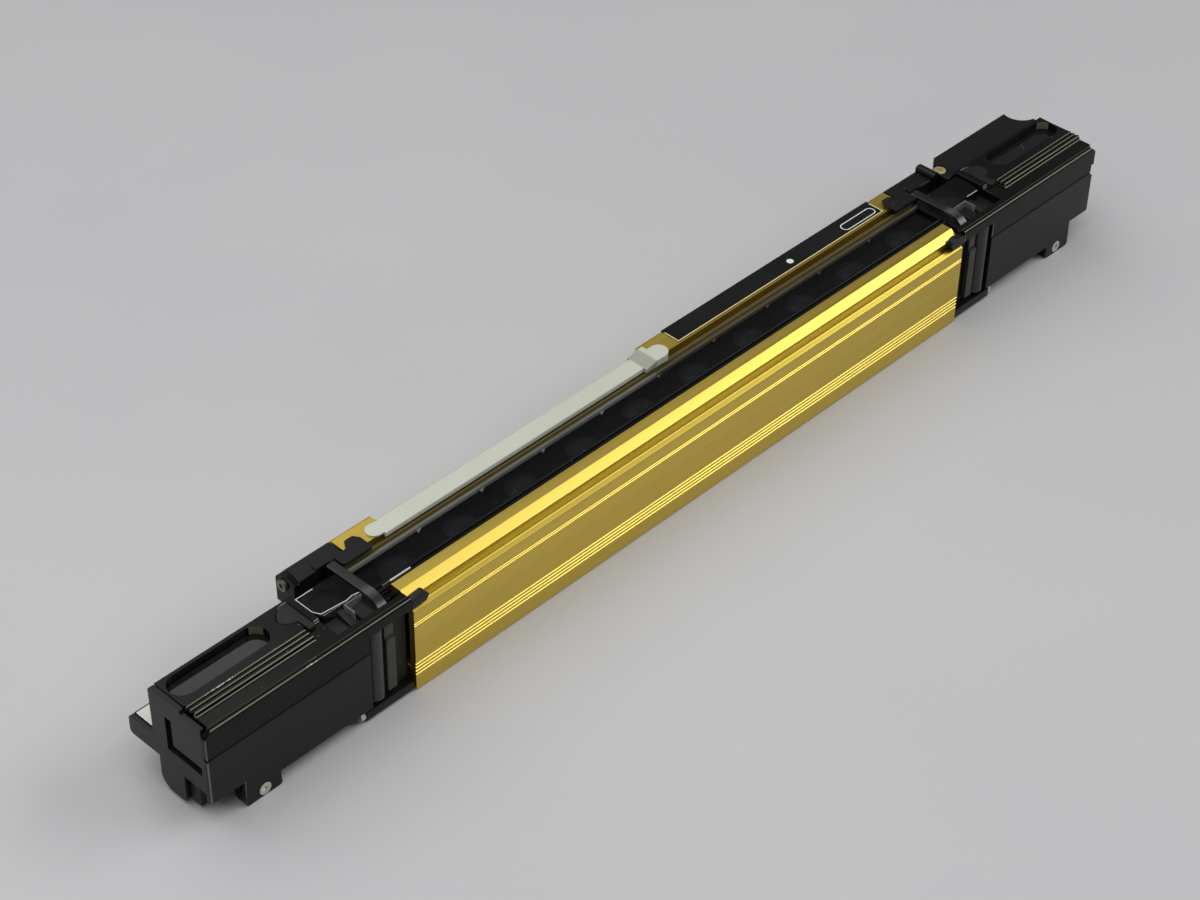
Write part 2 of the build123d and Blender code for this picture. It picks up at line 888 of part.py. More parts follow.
def lug_screws():
    with BuildPart() as name:
        for way in (-1, 1):
            plane = Plane(
                origin=(station(way, lug_screw_station), deep(lug_screw_sink), lug_screw_height),
                x_dir=(1, 0, 0),
                z_dir=(0, -1, 0),
            )
            add_screw(plane, lug_screw_head - fit, lug_screw_sink, lug_screw_length - lug_screw_sink)
    save(name, "lug_screws")


# Upper cover: skirt, ridged top, window openings and the well over the coupler
def upper_cover(way, side):
    last = cover_end[way]
    first = station(way, end_gap)
    final = station(way, last)
    with BuildPart() as name:
        with BuildSketch(cross_plane(min(first, final))):
            with BuildLine():
                Polyline(
                    (deep(0), cover_top_front - cover_edge_radius),
                    (deep(0), cover_seam + seam_half),
                    (deep(cover_wall), cover_seam + seam_half),
                    (deep(cover_wall), cover_slab_bottom),
                    (deep(cover_back_depth), cover_slab_bottom),
                    (deep(cover_back_depth), cover_top_back - ridge_bevel),
                    (deep(cover_back_depth - ridge_bevel), cover_top_back),
                    (deep(ridge_back + ridge_bevel), cover_top_back),
                    (deep(ridge_back), device_height),
                    (deep(ridge_front), device_height),
                    (deep(ridge_front - ridge_bevel), cover_top_front),
                    (deep(cover_edge_radius), cover_top_front),
                )
                RadiusArc(
                    (deep(cover_edge_radius), cover_top_front),
                    (deep(0), cover_top_front - cover_edge_radius),
                    -cover_edge_radius,
                )
            make_face()
        extrude(amount=abs(final - first))
        end_block(
            way, (end_gap, coupler_length), (0, cover_back_depth), (0, coupler_band_bottom), Mode.SUBTRACT
        )
        end_block(
            way,
            (0, ridge_inner_end),
            (0, ridge_back + ridge_bevel),
            (cover_top_front, device_height),
            Mode.SUBTRACT,
        )
        end_block(
            way,
            (slab_end[way], last),
            (cover_wall, cover_back_depth),
            (cover_slab_bottom, device_height),
            Mode.SUBTRACT,
        )
        end_block(
            way,
            (0, well_outer),
            (well_front, cover_back_depth),
            (cover_seam, device_height),
            Mode.SUBTRACT,
        )
        for depth in ridge_grooves:
            end_block(
                way,
                (ridge_inner_end, slab_end[way]),
                (depth - ridge_groove_width / 2, depth + ridge_groove_width / 2),
                (device_height - ridge_groove_cut, device_height),
                Mode.SUBTRACT,
            )
        end_block(
            way,
            (end_gap, last),
            (lip_line_depth - lip_line_width / 2, lip_line_depth + lip_line_width / 2),
            (cover_top_front - lip_line_cut, cover_top_front),
            Mode.SUBTRACT,
        )
        with BuildSketch(side_plane(0)):
            side_shape(way, [
                (last - cover_end_run, cover_top_front),
                (last, cover_top_front),
                (last, cover_top_front - cover_end_fall),
            ])
        extrude(amount=-cover_wall, mode=Mode.SUBTRACT)
        if way > 0:
            end_block(
                way,
                (last - seam_notch_length, last),
                (0, cover_wall),
                (cover_seam, cover_seam + seam_notch_above),
                Mode.SUBTRACT,
            )
        with BuildSketch(Plane.XY.offset(device_height)):
            with Locations((station(way, (twin_start + twin_end) / 2), deep(twin_middle_depth))):
                SlotOverall(twin_end - twin_start, twin_width)
        extrude(amount=cover_slab_bottom - device_height, mode=Mode.SUBTRACT)
        pocket = cover_top_back - leaf_sink
        extrude(leaf_face(way, fit, pocket), amount=device_height - pocket, mode=Mode.SUBTRACT)
    save(name, f"{side}_upper_cover")


def leaf_face(way, grow, height):
    """Leaf with a narrow foot and a full round back, grown all round."""
    def spot(place, depth):
        return (station(way, place), deep(depth))

    front = leaf_front - grow
    back = leaf_back + grow
    inner = leaf_inner - grow
    outer = leaf_outer + grow
    stem = leaf_inner + leaf_stem + grow
    reach = leaf_back - leaf_reach
    belly = leaf_back - leaf_belly
    with BuildSketch(Plane.XY.offset(height)) as face:
        with BuildLine():
            Polyline(spot(stem, reach), spot(stem, front), spot(inner, front), spot(inner, back))
            Line(spot(inner, back), spot(inner + leaf_tail, back))
            ThreePointArc(
                spot(inner + leaf_tail, back),
                spot((inner + leaf_tail + 3 * outer) / 4, (back + belly) / 2),
                spot(outer, belly),
            )
            ThreePointArc(
                spot(outer, belly),
                spot((stem + 2 * outer) / 3, (2 * reach + belly) / 3),
                spot(stem, reach),
            )
        make_face()
    return face.sketch


def leaf_tab(way, side):
    with BuildPart() as name:
        extrude(leaf_face(way, 0, cover_top_back - leaf_sink), amount=leaf_thick)
    save(name, f"{side}_leaf_tab")


# Oblong window over the outer beams
def twin_window(way, side):
    with BuildPart() as name:
        with BuildSketch(Plane.XY.offset(core_top)):
            with Locations((station(way, (twin_start + twin_end) / 2), deep(twin_middle_depth))):
                SlotOverall(twin_end - twin_start - 2 * fit, twin_width - 2 * fit)
        extrude(amount=twin_thick)
    save(name, f"{side}_twin_window")


# Raised window over the inner beam, one corner cut off
def single_window(way, side):
    with BuildPart() as name:
        with BuildSketch(Plane.XY.offset(core_top)):
            plan_shape(way, [
                (single_inner, single_front),
                (single_outer - single_corner_run, single_front),
                (single_outer, single_front + single_corner_depth),
                (single_outer, single_back),
                (single_inner, single_back),
            ])
        extrude(amount=bar_height + single_rise - core_top)
        fillet(name.edges().filter_by(Axis.Z), soft_corner)
        chamfer(name.edges().group_by(Axis.Z)[-1], soft_edge)
    save(name, f"{side}_single_window")


# Strap over the window end, bent down at the front
def clamp_band(way, side):
    first = station(way, band_inner)
    final = station(way, band_inner + band_width)
    back = bar_width - band_back_inset
    toe_height = bar_height - band_toe_drop
    with BuildPart() as name:
        with BuildSketch(cross_plane(min(first, final))):
            with BuildLine():
                Polyline(
                    (deep(band_bend_depth), band_top),
                    (deep(back), band_top),
                    (deep(back), pane_seat - core_clear),
                    (deep(back - band_thick), pane_seat - core_clear),
                    (deep(back - band_thick), band_top - band_thick),
                    (deep(band_bend_depth), band_top - band_thick),
                )
                ThreePointArc(
                    (deep(band_bend_depth), band_top - band_thick),
                    (deep(band_front + band_thick + band_toe_inner), toe_height - fit),
                    (deep(band_front + band_thick), core_top),
                )
                Line((deep(band_front + band_thick), core_top), (deep(band_front), core_top))
                ThreePointArc(
                    (deep(band_front), core_top),
                    (deep(band_front + band_toe_outer), toe_height + band_toe_lift),
                    (deep(band_bend_depth), band_top),
                )
            make_face()
        extrude(amount=abs(final - first))
    save(name, f"{side}_clamp_band")


# Clear angle clip in front of the single window
def clear_clip(way, side):
    back = single_front - clip_gap
    with BuildPart() as name:
        with BuildSketch(Plane.XY.offset(core_top)):
            plan_shape(way, [
                (single_inner, back),
                (single_inner, back - clip_thick),
                (clip_outer - clip_thick, back - clip_thick),
                (clip_outer - clip_thick, clip_front),
                (clip_outer, clip_front),
                (clip_outer, back),
            ])
        extrude(amount=bar_height + clip_rise - core_top)
    save(name, f"{side}_clear_clip")


# Small sloping bracket beside the clear clip
def well_bracket(way, side):
    first = station(way, bracket_inner)
    final = station(way, bracket_outer)
    top = bar_height - bracket_drop
    back = single_front - clip_gap
    with BuildPart() as name:
        with BuildSketch(cross_plane(min(first, final))):
            cross_shape([
                (bracket_front, core_top),
                (bracket_front, core_top + bracket_foot),
                (back - bracket_flat, top),
                (back, top),
                (back, core_top),
            ])
        extrude(amount=abs(final - first))
    save(name, f"{side}_well_bracket")


# Low pad in the well, in front of the clear clip
def well_pad(way, side):
    with BuildPart() as name:
        end_block(
            way, (pad_inner, pad_outer), (pad_front, pad_back), (core_top, bar_height - pad_drop)
        )
        chamfer(name.edges().group_by(Axis.Z)[-1], soft_edge)
    save(name, f"{side}_well_pad")


# Glossy rounded rib that stands upright in the coupler recess
def coupler_rib(way, side):
    side_depth = coupler_floor_depth - rib_side
    with BuildPart() as name:
        with BuildSketch(Plane.XY.offset(rib_bottom)):
            with BuildLine():
                Polyline(
                    (station(way, rib_inner), deep(side_depth)),
                    (station(way, rib_inner), deep(coupler_floor_depth)),
                    (station(way, rib_outer), deep(coupler_floor_depth)),
                    (station(way, rib_outer), deep(side_depth)),
                )
                ThreePointArc(
                    (station(way, rib_outer), deep(side_depth)),
                    (station(way, (rib_inner + rib_outer) / 2), deep(side_depth - rib_bulge)),
                    (station(way, rib_inner), deep(side_depth)),
                )
            make_face()
        extrude(amount=coupler_band_bottom - fit - rib_bottom)
    save(name, f"{side}_coupler_rib")


# Flat panel beside the rib, stepped back near its top
def coupler_panel(way, side):
    step = bar_height - panel_step_drop
    ends = (panel_inner, panel_outer)
    with BuildPart() as name:
        end_block(way, ends, (panel_face_depth, coupler_floor_depth), (rib_bottom, step))
        end_block(
            way, ends, (panel_step_depth, coupler_floor_depth), (step, coupler_band_bottom - fit)
        )
    save(name, f"{side}_coupler_panel")


# Rail under the coupler
def base_rail(way, side):
    with BuildPart() as name:
        end_block(
            way, (rail_start, rail_end), (rail_side, bar_width - rail_side), (rail_bottom, rail_top)
        )
        chamfer(name.edges().filter_by(Axis.X).group_by(Axis.Z)[0], soft_corner)
        for depth in (rail_screw_side, bar_width - rail_screw_side):
            with BuildSketch(end_plane(way, rail_end, depth, rail_screw_height)):
                RegularPolygon(lug_screw_shank, head_sides)
            extrude(amount=-lug_thick, mode=Mode.SUBTRACT)
    save(name, f"{side}_base_rail")


def rail_screws():
    with BuildPart() as name:
        for way in (-1, 1):
            for depth in (rail_screw_side, bar_width - rail_screw_side):
                plane = end_plane(way, rail_end, depth, rail_screw_height)
                add_screw(plane, rail_screw_radius, rail_screw_head, lug_screw_length)
    save(name, "rail_screws")


# Flange cover at the back of the coupler
def flange_cover(way, side):
    front = bar_width - flange_cover_width
    ends = (end_gap, flange_cover_end)
    with BuildPart() as name:
        end_block(way, ends, (front, bar_width), (pane_seat, bar_height))
        end_block(way, ends, (bar_width - flange_cover_skirt, bar_width), (rail_top, bar_height))
        top_edges = name.edges().filter_by(Axis.X).group_by(Axis.Z)[-1]
        fillet(top_edges.sort_by(Axis.Y)[-1], back_edge_radius)
        end_block(
            way,
            (0, pane_overhang + core_clear),
            (front - through, back_flange_depth + pane_groove_depth),
            (pane_seat - core_clear, pane_top + fit),
            Mode.SUBTRACT,
        )
        end_block(
            way,
            (flange_step_inner, flange_step_outer),
            (front, front + flange_step_width),
            (bar_height, bar_height + flange_step_rise),
        )
    save(name, f"{side}_flange_cover")


# Hook that reaches from the end unit onto the back flange
def flange_hook(way, side):
    front = bar_width - hook_front_inset
    back = bar_width - hook_back_inset
    with BuildPart() as name:
        with BuildSketch(Plane.XY.offset(bar_height)):
            plan_shape(way, [
                (hook_root, front),
                (-hook_reach, front),
                (-hook_reach, back - hook_nose_width),
                (-hook_reach + hook_nose, back),
                (-hook_nose_width, back),
                (-hook_heel, back - hook_neck),
                (hook_root, back - hook_neck),
            ])
        extrude(amount=hook_thick)
        fillet(name.edges().filter_by(Axis.Z), round_corner)
    save(name, f"{side}_flange_hook")


# Leaf tongue that stands in the front mounting slot
def slot_tongue(way, side):
    root = station(way, end_gap - fit)
    tip = (station(way, -tongue_reach), bar_height - tongue_tip_drop)
    bend = (station(way, -tongue_bend), bar_height + tongue_top_rise)
    foot = (station(way, -tongue_foot_reach), bar_height - tongue_foot_drop)
    round_top = (station(way, -(tongue_bend + 3 * tongue_reach) / 4), (bend[1] + tip[1]) / 2)
    round_foot = (station(way, -(tongue_foot_reach + 3 * tongue_reach) / 4), (foot[1] + tip[1]) / 2)
    with BuildPart() as name:
        with BuildSketch(side_plane(fit)):
            with BuildLine():
                Polyline(
                    foot,
                    (root, bar_height - tongue_clear_drop),
                    (root, bar_height + tongue_root_rise),
                    bend,
                )
                ThreePointArc(bend, round_top, tip)
                ThreePointArc(tip, round_foot, foot)
            make_face()
        extrude(amount=-tongue_thick)
    save(name, f"{side}_slot_tongue")


# Upright lug behind the left coupler
def back_lug(way, side):
    first = station(way, back_lug_start)
    final = station(way, back_lug_end)
    front = bar_width - back_lug_width
    bottom = bar_height - back_lug_drop
    with BuildPart() as name:
        with BuildSketch(cross_plane(min(first, final))):
            with BuildLine():
                Polyline(
                    (deep(bar_width), back_lug_top - back_lug_radius),
                    (deep(bar_width), bottom),
                    (deep(front), bottom),
                    (deep(front), bar_height),
                    (deep(bar_width - back_lug_top_inset), back_lug_top),
                    (deep(bar_width - back_lug_radius), back_lug_top),
                )
                RadiusArc(
                    (deep(bar_width - back_lug_radius), back_lug_top),
                    (deep(bar_width), back_lug_top - back_lug_radius),
                    back_lug_radius,
                )
            make_face()
        extrude(amount=abs(final - first))
        plane = end_plane(
            way, back_lug_end, bar_width - back_screw_inset, bar_height - back_screw_drop
        )
        with BuildSketch(plane):
            RegularPolygon(lug_screw_shank, head_sides)
        extrude(amount=-(back_lug_end - back_lug_start), mode=Mode.SUBTRACT)
        end_block(
            way,
            (flange_cover_end, back_lug_start),
            (bar_width - flange_cover_skirt - back_lug_tie, bar_width - flange_cover_skirt),
            (bottom, bar_height - back_edge_radius),
        )
    save(name, f"{side}_back_lug")


def back_lug_screw(way, side):
    with BuildPart() as name:
        plane = end_plane(
            way, back_lug_end, bar_width - back_screw_inset, bar_height - back_screw_drop
        )
        add_screw(plane, back_screw_radius, back_screw_head, back_lug_end - back_lug_start)
    save(name, f"{side}_back_screw")


# Low body behind the left upper cover, its pale top plate and the grommet
def side_shelf(way, side):
    with BuildPart() as name:
        end_block(
            way,
            (shelf_start, plate_inner[way] - fit),
            (cover_back_depth - core_clear, shelf_back),
            (bar_height - shelf_bottom_drop, shelf_top),
        )
        fillet(name.edges().filter_by(Axis.X).group_by(Axis.Y)[-1], round_corner)
        with BuildSketch(side_plane(shelf_back)):
            with Locations((station(way, grommet_station), grommet_height)):
                Circle(grommet_neck + fit)
        extrude(amount=grommet_seat, mode=Mode.SUBTRACT)
    save(name, f"{side}_side_shelf")


def shelf_plate(way, side):
    with BuildPart() as name:
        end_block(
            way,
            (shelf_plate_start, plate_inner[way] - fit),
            (cover_back_depth + shelf_plate_margin, shelf_back - shelf_plate_back),
            (shelf_top, shelf_top + shelf_plate_thick),
        )
    save(name, f"{side}_shelf_plate")


def cable_grommet(way):
    spot = (station(way, grommet_station), grommet_height)
    with BuildPart() as name:
        with BuildSketch(side_plane(shelf_back)):
            with Locations(spot):
                Circle(grommet_radius)
        extrude(amount=-grommet_proud)
        with BuildSketch(side_plane(shelf_back)):
            with Locations(spot):
                Circle(grommet_neck)
        extrude(amount=grommet_seat)
        with BuildSketch(side_plane(shelf_back + grommet_proud)):
            with Locations(spot):
                Circle(grommet_bore)
        extrude(amount=grommet_proud + grommet_seat, mode=Mode.SUBTRACT)
        rim = name.edges().filter_by(GeomType.CIRCLE).group_by(Axis.Y)[-1]
        chamfer(rim.sort_by(SortBy.LENGTH)[-1], grommet_bevel)
    save(name, "cable_grommet")


# Wide cover behind the right upper cover, its cross bar and screw
def wide_cover(way, side):
    front = cover_back_depth
    wide_end = plate_inner[way] - fit
    curve_start = wide_end - wide_curve_length
    slant = bar_width - wide_slant_inset
    screw = (station(way, top_screw_station), deep(top_screw_depth))
    with BuildPart() as name:
        with BuildSketch(Plane.XY.offset(core_bottom)):
            with BuildLine():
                Polyline(
                    (station(way, wide_end), deep(front + wide_curve_foot)),
                    (station(way, wide_end), deep(front)),
                    (station(way, wide_start), deep(front)),
                    (station(way, wide_start), deep(slant)),
                    (station(way, wide_slant_start), deep(slant)),
                    (station(way, wide_slant_end), deep(bar_width)),
                    (station(way, curve_start), deep(bar_width)),
                )
                ThreePointArc(
                    (station(way, curve_start), deep(bar_width)),
                    (station(way, curve_start + wide_curve_run), deep(front + wide_curve_rise)),
                    (station(way, wide_end), deep(front + wide_curve_foot)),
                )
            make_face()
        extrude(amount=wide_top - core_bottom)
        chamfer(name.edges().group_by(Axis.Z)[-1], soft_edge)
        for radius, sink in (
            (top_screw_pocket, top_screw_sink),
            (lug_screw_shank, top_screw_sink + lug_screw_length),
        ):
            with BuildSketch(Plane.XY.offset(wide_top)):
                with Locations(screw):
                    RegularPolygon(radius, head_sides)
            extrude(amount=-sink, mode=Mode.SUBTRACT)
    save(name, f"{side}_wide_cover")


def cross_bar(way, side):
    with BuildPart() as name:
        end_block(
            way,
            (flange_cover_end, cross_bar_end),
            (bar_width - cross_bar_width, bar_width),
            (pane_seat - core_clear, bar_height + cross_bar_rise),
        )
        fillet(name.edges().filter_by(Axis.Y).group_by(Axis.Z)[-1], cross_bar_round)
        fillet(name.edges().filter_by(Axis.Z).group_by(Axis.Y)[-1], round_corner)
    save(name, f"{side}_cross_bar")


def top_screw(way, side):
    seat = wide_top - top_screw_sink
    with BuildPart() as name:
        plane = Plane(origin=(station(way, top_screw_station), deep(top_screw_depth), seat))
        add_screw(plane, top_screw_radius, top_screw_sink - 2 * fit, lug_screw_length)
    save(name, f"{side}_top_screw")


# Bent sheet plate over the end, with an L slot in its face
def end_plate(way, side):
    start = min(station(way, plate_inner[way]), station(way, plate_outer[way]))
    back = cover_back_depth + plate_back_gap
    tab_back = bar_width - plate_tab_inset
    top = bar_height + plate_rise if way < 0 else core_top - fit
    slot_top = bar_height - plate_slot_drop
    slot_back = plate_slot_depth + plate_slot_width
    with BuildPart() as name:
        with BuildSketch(cross_plane(start)) as face:
            cross_shape([
                (plate_front, plate_bottom),
                (plate_front, top),
                (back, top),
                (back, plate_tab_top),
                (tab_back, plate_tab_top),
                (tab_back, plate_tab_bottom),
                (plate_foot_back, plate_tab_bottom),
                (plate_foot_back, plate_foot_bottom),
                (plate_foot_front, plate_foot_bottom),
                (plate_foot_front, plate_bottom),
            ])
            with Locations(((deep(plate_front) + deep(plate_step_depth)) / 2, top)):
                Rectangle(plate_step_depth - plate_front, 2 * plate_step_drop, mode=Mode.SUBTRACT)
            fillet(face.vertices().group_by(Axis.Y)[0].sort_by(Axis.X)[-1], plate_foot_corner)
            fillet(face.vertices().group_by(Axis.Y)[0].sort_by(Axis.X)[0], plate_tab_corner)
            fillet(face.vertices().group_by(Axis.X)[-1], plate_tab_corner)
            fillet(face.vertices().group_by(Axis.Y)[-1].sort_by(Axis.X)[-1], plate_corner)
            fillet(face.vertices().group_by(Axis.Y)[-1].sort_by(Axis.X)[0], plate_step_round)
        extrude(amount=plate_thick[way])
        with BuildSketch(cross_plane(start)):
            cross_shape([
                (plate_slot_front, plate_slot_bottom),
                (plate_slot_front, plate_slot_bottom + plate_slot_arm),
                (plate_slot_depth, plate_slot_bottom + plate_slot_arm),
                (plate_slot_depth, slot_top),
                (slot_back, slot_top),
                (slot_back, plate_slot_bottom),
            ])
        extrude(amount=plate_thick[way], mode=Mode.SUBTRACT)
    save(name, f"{side}_end_plate")


housing()
window()
seal("back_window_seal", back_flange_depth, -1, True)
seal("front_window_seal", front_flange_depth, 1, False)
chassis()
bar_lenses()
emitter_board()
emitter_diodes()
label_plate()
edge_strip()
lug_screws()
rail_screws()

for way, side in ((-1, "left"), (1, "right")):
    end_core(way, side)
    end_lenses(way, side)
    lower_cover(way, side)
    upper_cover(way, side)
    leaf_tab(way, side)
    twin_window(way, side)
    single_window(way, side)
    clamp_band(way, side)
    clear_clip(way, side)
    well_bracket(way, side)
    well_pad(way, side)
    coupler_rib(way, side)
    coupler_panel(way, side)
    base_rail(way, side)
    flange_cover(way, side)
    flange_hook(way, side)
    slot_tongue(way, side)
    end_plate(way, side)

back_lug(-1, "left")
back_lug_screw(-1, "left")
side_shelf(-1, "left")
shelf_plate(-1, "left")
cable_grommet(-1)
wide_cover(1, "right")
cross_bar(1, "right")
top_screw(1, "right")
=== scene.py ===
import math

import bmesh
import bpy
from mathutils import Matrix, Vector


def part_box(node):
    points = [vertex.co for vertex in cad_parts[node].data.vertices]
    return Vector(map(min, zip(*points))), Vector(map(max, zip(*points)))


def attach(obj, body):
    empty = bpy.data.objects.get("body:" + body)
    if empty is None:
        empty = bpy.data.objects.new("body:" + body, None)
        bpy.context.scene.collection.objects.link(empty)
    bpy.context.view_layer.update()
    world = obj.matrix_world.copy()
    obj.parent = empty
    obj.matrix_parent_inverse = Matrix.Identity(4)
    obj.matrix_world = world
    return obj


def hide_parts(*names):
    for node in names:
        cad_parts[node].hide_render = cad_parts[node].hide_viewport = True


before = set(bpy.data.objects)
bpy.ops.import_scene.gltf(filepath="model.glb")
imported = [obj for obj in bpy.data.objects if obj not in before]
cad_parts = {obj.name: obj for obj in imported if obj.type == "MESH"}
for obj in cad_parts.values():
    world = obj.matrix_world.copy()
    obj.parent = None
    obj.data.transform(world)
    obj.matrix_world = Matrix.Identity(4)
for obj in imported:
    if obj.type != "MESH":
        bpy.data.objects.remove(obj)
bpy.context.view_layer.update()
scene = bpy.context.scene
mm = 0.001


# Camera and lamps

camera_place = (-0.386349, -0.343629, 0.439136)
camera_look = (0.55608, 0.52632, -0.64324)
camera_roll = math.radians(1.0165)


def aimed(place, look):
    """The matrix of a camera or lamp that stands at a place and looks one way."""
    return Matrix.Translation(place) @ Vector(look).to_track_quat("-Z", "Y").to_matrix().to_4x4()


def place_camera():
    data = bpy.data.cameras.new("photo_camera")
    data.sensor_width = 36.0
    data.lens = 81.56
    data.dof.use_dof = False
    data.clip_end = 20.0
    camera = bpy.data.objects.new("photo_camera", data)
    scene.collection.objects.link(camera)
    camera.matrix_world = aimed(camera_place, camera_look) @ Matrix.Rotation(camera_roll, 4, "Z")
    scene.camera = camera


def soft_lamp(name, place, aim, size, power):
    data = bpy.data.lights.new(name, "AREA")
    data.shape = "RECTANGLE"
    data.size, data.size_y = size
    data.energy = power
    lamp = bpy.data.objects.new(name, data)
    scene.collection.objects.link(lamp)
    lamp.matrix_world = aimed(place, Vector(aim) - Vector(place))


def light_the_room():
    world = bpy.data.worlds.new("soft_room")
    world.use_nodes = True
    sky = world.node_tree.nodes["Background"]
    sky.inputs["Color"].default_value = (0.96, 0.97, 1.0, 1)
    sky.inputs["Strength"].default_value = 0.22
    scene.world = world
    soft_lamp("overhead_box", (-0.34, -0.08, 0.82), (-0.34, -0.08, 0.0), (0.9, 0.9), 4.9)
    soft_lamp("side_strip", (0.92, -0.77, 1.06), (0.0, 0.0, 0.0), (1.08, 0.42), 9.0)
    soft_lamp("back_box", (-0.165, 0.95, 1.15), (-0.165, 0.0, 0.0), (1.55, 0.86), 5.4)


# Shader helpers

def start_finish(name):
    """A new material, its tree, its surface shader and the piece's own coordinates."""
    material = bpy.data.materials.new(name)
    material.use_nodes = True
    tree = material.node_tree
    where = tree.nodes.new("ShaderNodeTexCoord").outputs["Object"]
    return material, tree, tree.nodes["Principled BSDF"], where


def feed(tree, made, values):
    """Links or sets each named input of a node."""
    for key, value in values.items():
        if hasattr(value, "is_output"):
            tree.links.new(value, made.inputs[key])
        else:
            made.inputs[key].default_value = value


def node(tree, kind, values, **settings):
    made = tree.nodes.new(kind)
    for key, value in settings.items():
        setattr(made, key, value)
    feed(tree, made, values)
    return made


def noise(tree, vector, scale, detail=3.0, rough=0.5):
    made = node(tree, "ShaderNodeTexNoise",
                {"Vector": vector, "Scale": scale, "Detail": detail, "Roughness": rough})
    return made.outputs["Fac"]


def stretched(tree, vector, scale, turn=(0.0, 0.0, 0.0)):
    made = node(tree, "ShaderNodeMapping", {"Vector": vector, "Rotation": turn, "Scale": scale})
    return made.outputs["Vector"]


def spread(tree, value, low, high, to_low=0.0, to_high=1.0):
    """Brings the range from low to high onto another one, and holds it there."""
    made = node(tree, "ShaderNodeMapRange", {"Value": value, "From Min": low, "From Max": high,
                                             "To Min": to_low, "To Max": to_high})
    return made.outputs["Result"]


def maths(tree, operation, *values, **settings):
    made = node(tree, "ShaderNodeMath", dict(enumerate(values)), operation=operation, **settings)
    return made.outputs["Value"]


def times(tree, first, second):
    return maths(tree, "MULTIPLY", first, second)


def blend_colours(tree, share, first, second):
    made = node(tree, "ShaderNodeMix", {0: share, 6: first, 7: second}, data_type="RGBA")
    return made.outputs[2]


def bump_to(tree, surface, height, strength, distance):
    bump = node(tree, "ShaderNodeBump", {"Strength": strength, "Distance": distance, "Height": height})
    tree.links.new(bump.outputs["Normal"], surface.inputs["Normal"])


def within(tree, where, axis, low, high, soft=0.02):
    """White where one coordinate, in mm, lies between low and high."""
    place = node(tree, "ShaderNodeSeparateXYZ", {"Vector": where})
    offset = maths(tree, "SUBTRACT", place.outputs[axis], (low + high) / 2 * mm)
    away = maths(tree, "ABSOLUTE", offset)
    reach = (high - low) / 2
    return spread(tree, away, (reach + soft / 2) * mm, (reach - soft / 2) * mm)


def painted_edge_highlight(tree):
    """White on the rounded edge faces marked for a painted highlight."""
    return node(tree, "ShaderNodeAttribute", {}, attribute_name="painted_edge_highlight").outputs["Fac"]


# Effects that several finishes share

def effect_group(name, settings, results):
    """An empty effect over a Vector, with the sockets that it takes from and gives to."""
    tree = bpy.data.node_groups.new(name, "ShaderNodeTree")
    tree.interface.new_socket(name="Vector", in_out="INPUT", socket_type="NodeSocketVector")
    for label, value in settings.items():
        socket = tree.interface.new_socket(name=label, in_out="INPUT", socket_type="NodeSocketFloat")
        socket.default_value = value
    for label in results:
        tree.interface.new_socket(name=label, in_out="OUTPUT", socket_type="NodeSocketFloat")
    return tree, tree.nodes.new("NodeGroupInput").outputs, tree.nodes.new("NodeGroupOutput")


def make_moulded_grain():
    """Fine grain as a height, and broad soft clouds."""
    tree, take, give = effect_group("moulded_grain", {"Grain Scale": 2600.0, "Cloud Scale": 60.0},
                                    ("Height", "Cloud"))
    feed(tree, give, {"Height": noise(tree, take["Vector"], take["Grain Scale"], 2.0, 0.6),
                      "Cloud": noise(tree, take["Vector"], take["Cloud Scale"], 4.0, 0.55)})
    return tree


def make_scuffs():
    """Sparse short hair scratches and dust specks, white on black."""
    tree, take, give = effect_group("scuffs_and_dust", {"Amount": 0.5}, ("Scratches", "Dust"))
    long_way = stretched(tree, take["Vector"], (60.0, 1400.0, 1400.0), (0.3, 0.2, 0.5))
    hairs = spread(tree, noise(tree, long_way, 1.0, 1.0, 0.4), 0.71, 0.76)
    scratched = spread(tree, noise(tree, take["Vector"], 90.0, 2.0), 0.55, 0.7)
    specks = node(tree, "ShaderNodeTexVoronoi", {"Vector": take["Vector"], "Scale": 420.0})
    dots = spread(tree, specks.outputs["Distance"], 0.10, 0.04)
    dusty = spread(tree, noise(tree, take["Vector"], 45.0, 2.0), 0.55, 0.65)
    feed(tree, give, {"Scratches": times(tree, times(tree, hairs, scratched), take["Amount"]),
                      "Dust": times(tree, times(tree, dots, dusty), take["Amount"])})
    return tree


def make_drawn_lines():
    """Fine lines along the bar as a height, and wider streaks."""
    tree, take, give = effect_group("drawn_lines", {"Fineness": 1.0}, ("Height", "Streaks"))
    fine = stretched(tree, take["Vector"], (5.0, 4200.0, 4200.0))
    wide = stretched(tree, take["Vector"], (3.0, 420.0, 420.0))
    feed(tree, give, {"Height": noise(tree, fine, take["Fineness"], 2.0, 0.5),
                      "Streaks": noise(tree, wide, 1.0, 3.0, 0.6)})
    return tree


grain_effect = make_moulded_grain()
scuff_effect = make_scuffs()
drawn_effect = make_drawn_lines()


def use_effect(tree, effect, values):
    return node(tree, "ShaderNodeGroup", values, node_tree=effect).outputs


def moulded_skin(tree, where, grain, clouds):
    return use_effect(tree, grain_effect, {"Vector": where, "Grain Scale": grain, "Cloud Scale": clouds})


def scuffs_on(tree, where, amount):
    return use_effect(tree, scuff_effect, {"Vector": where, "Amount": amount})


def clouded(tree, skin, first, second, low=0.35, high=0.7):
    """Two close colours mixed by the skin's clouds."""
    return blend_colours(tree, spread(tree, skin["Cloud"], low, high), first, second)


def uneven(tree, skin, smooth, rough):
    """A roughness that follows the skin's clouds."""
    return spread(tree, skin["Cloud"], 0.3, 0.7, smooth, rough)


def paler(colour, lift=0.0):
    return tuple(part * 1.5 + lift for part in colour[:3]) + (1,)


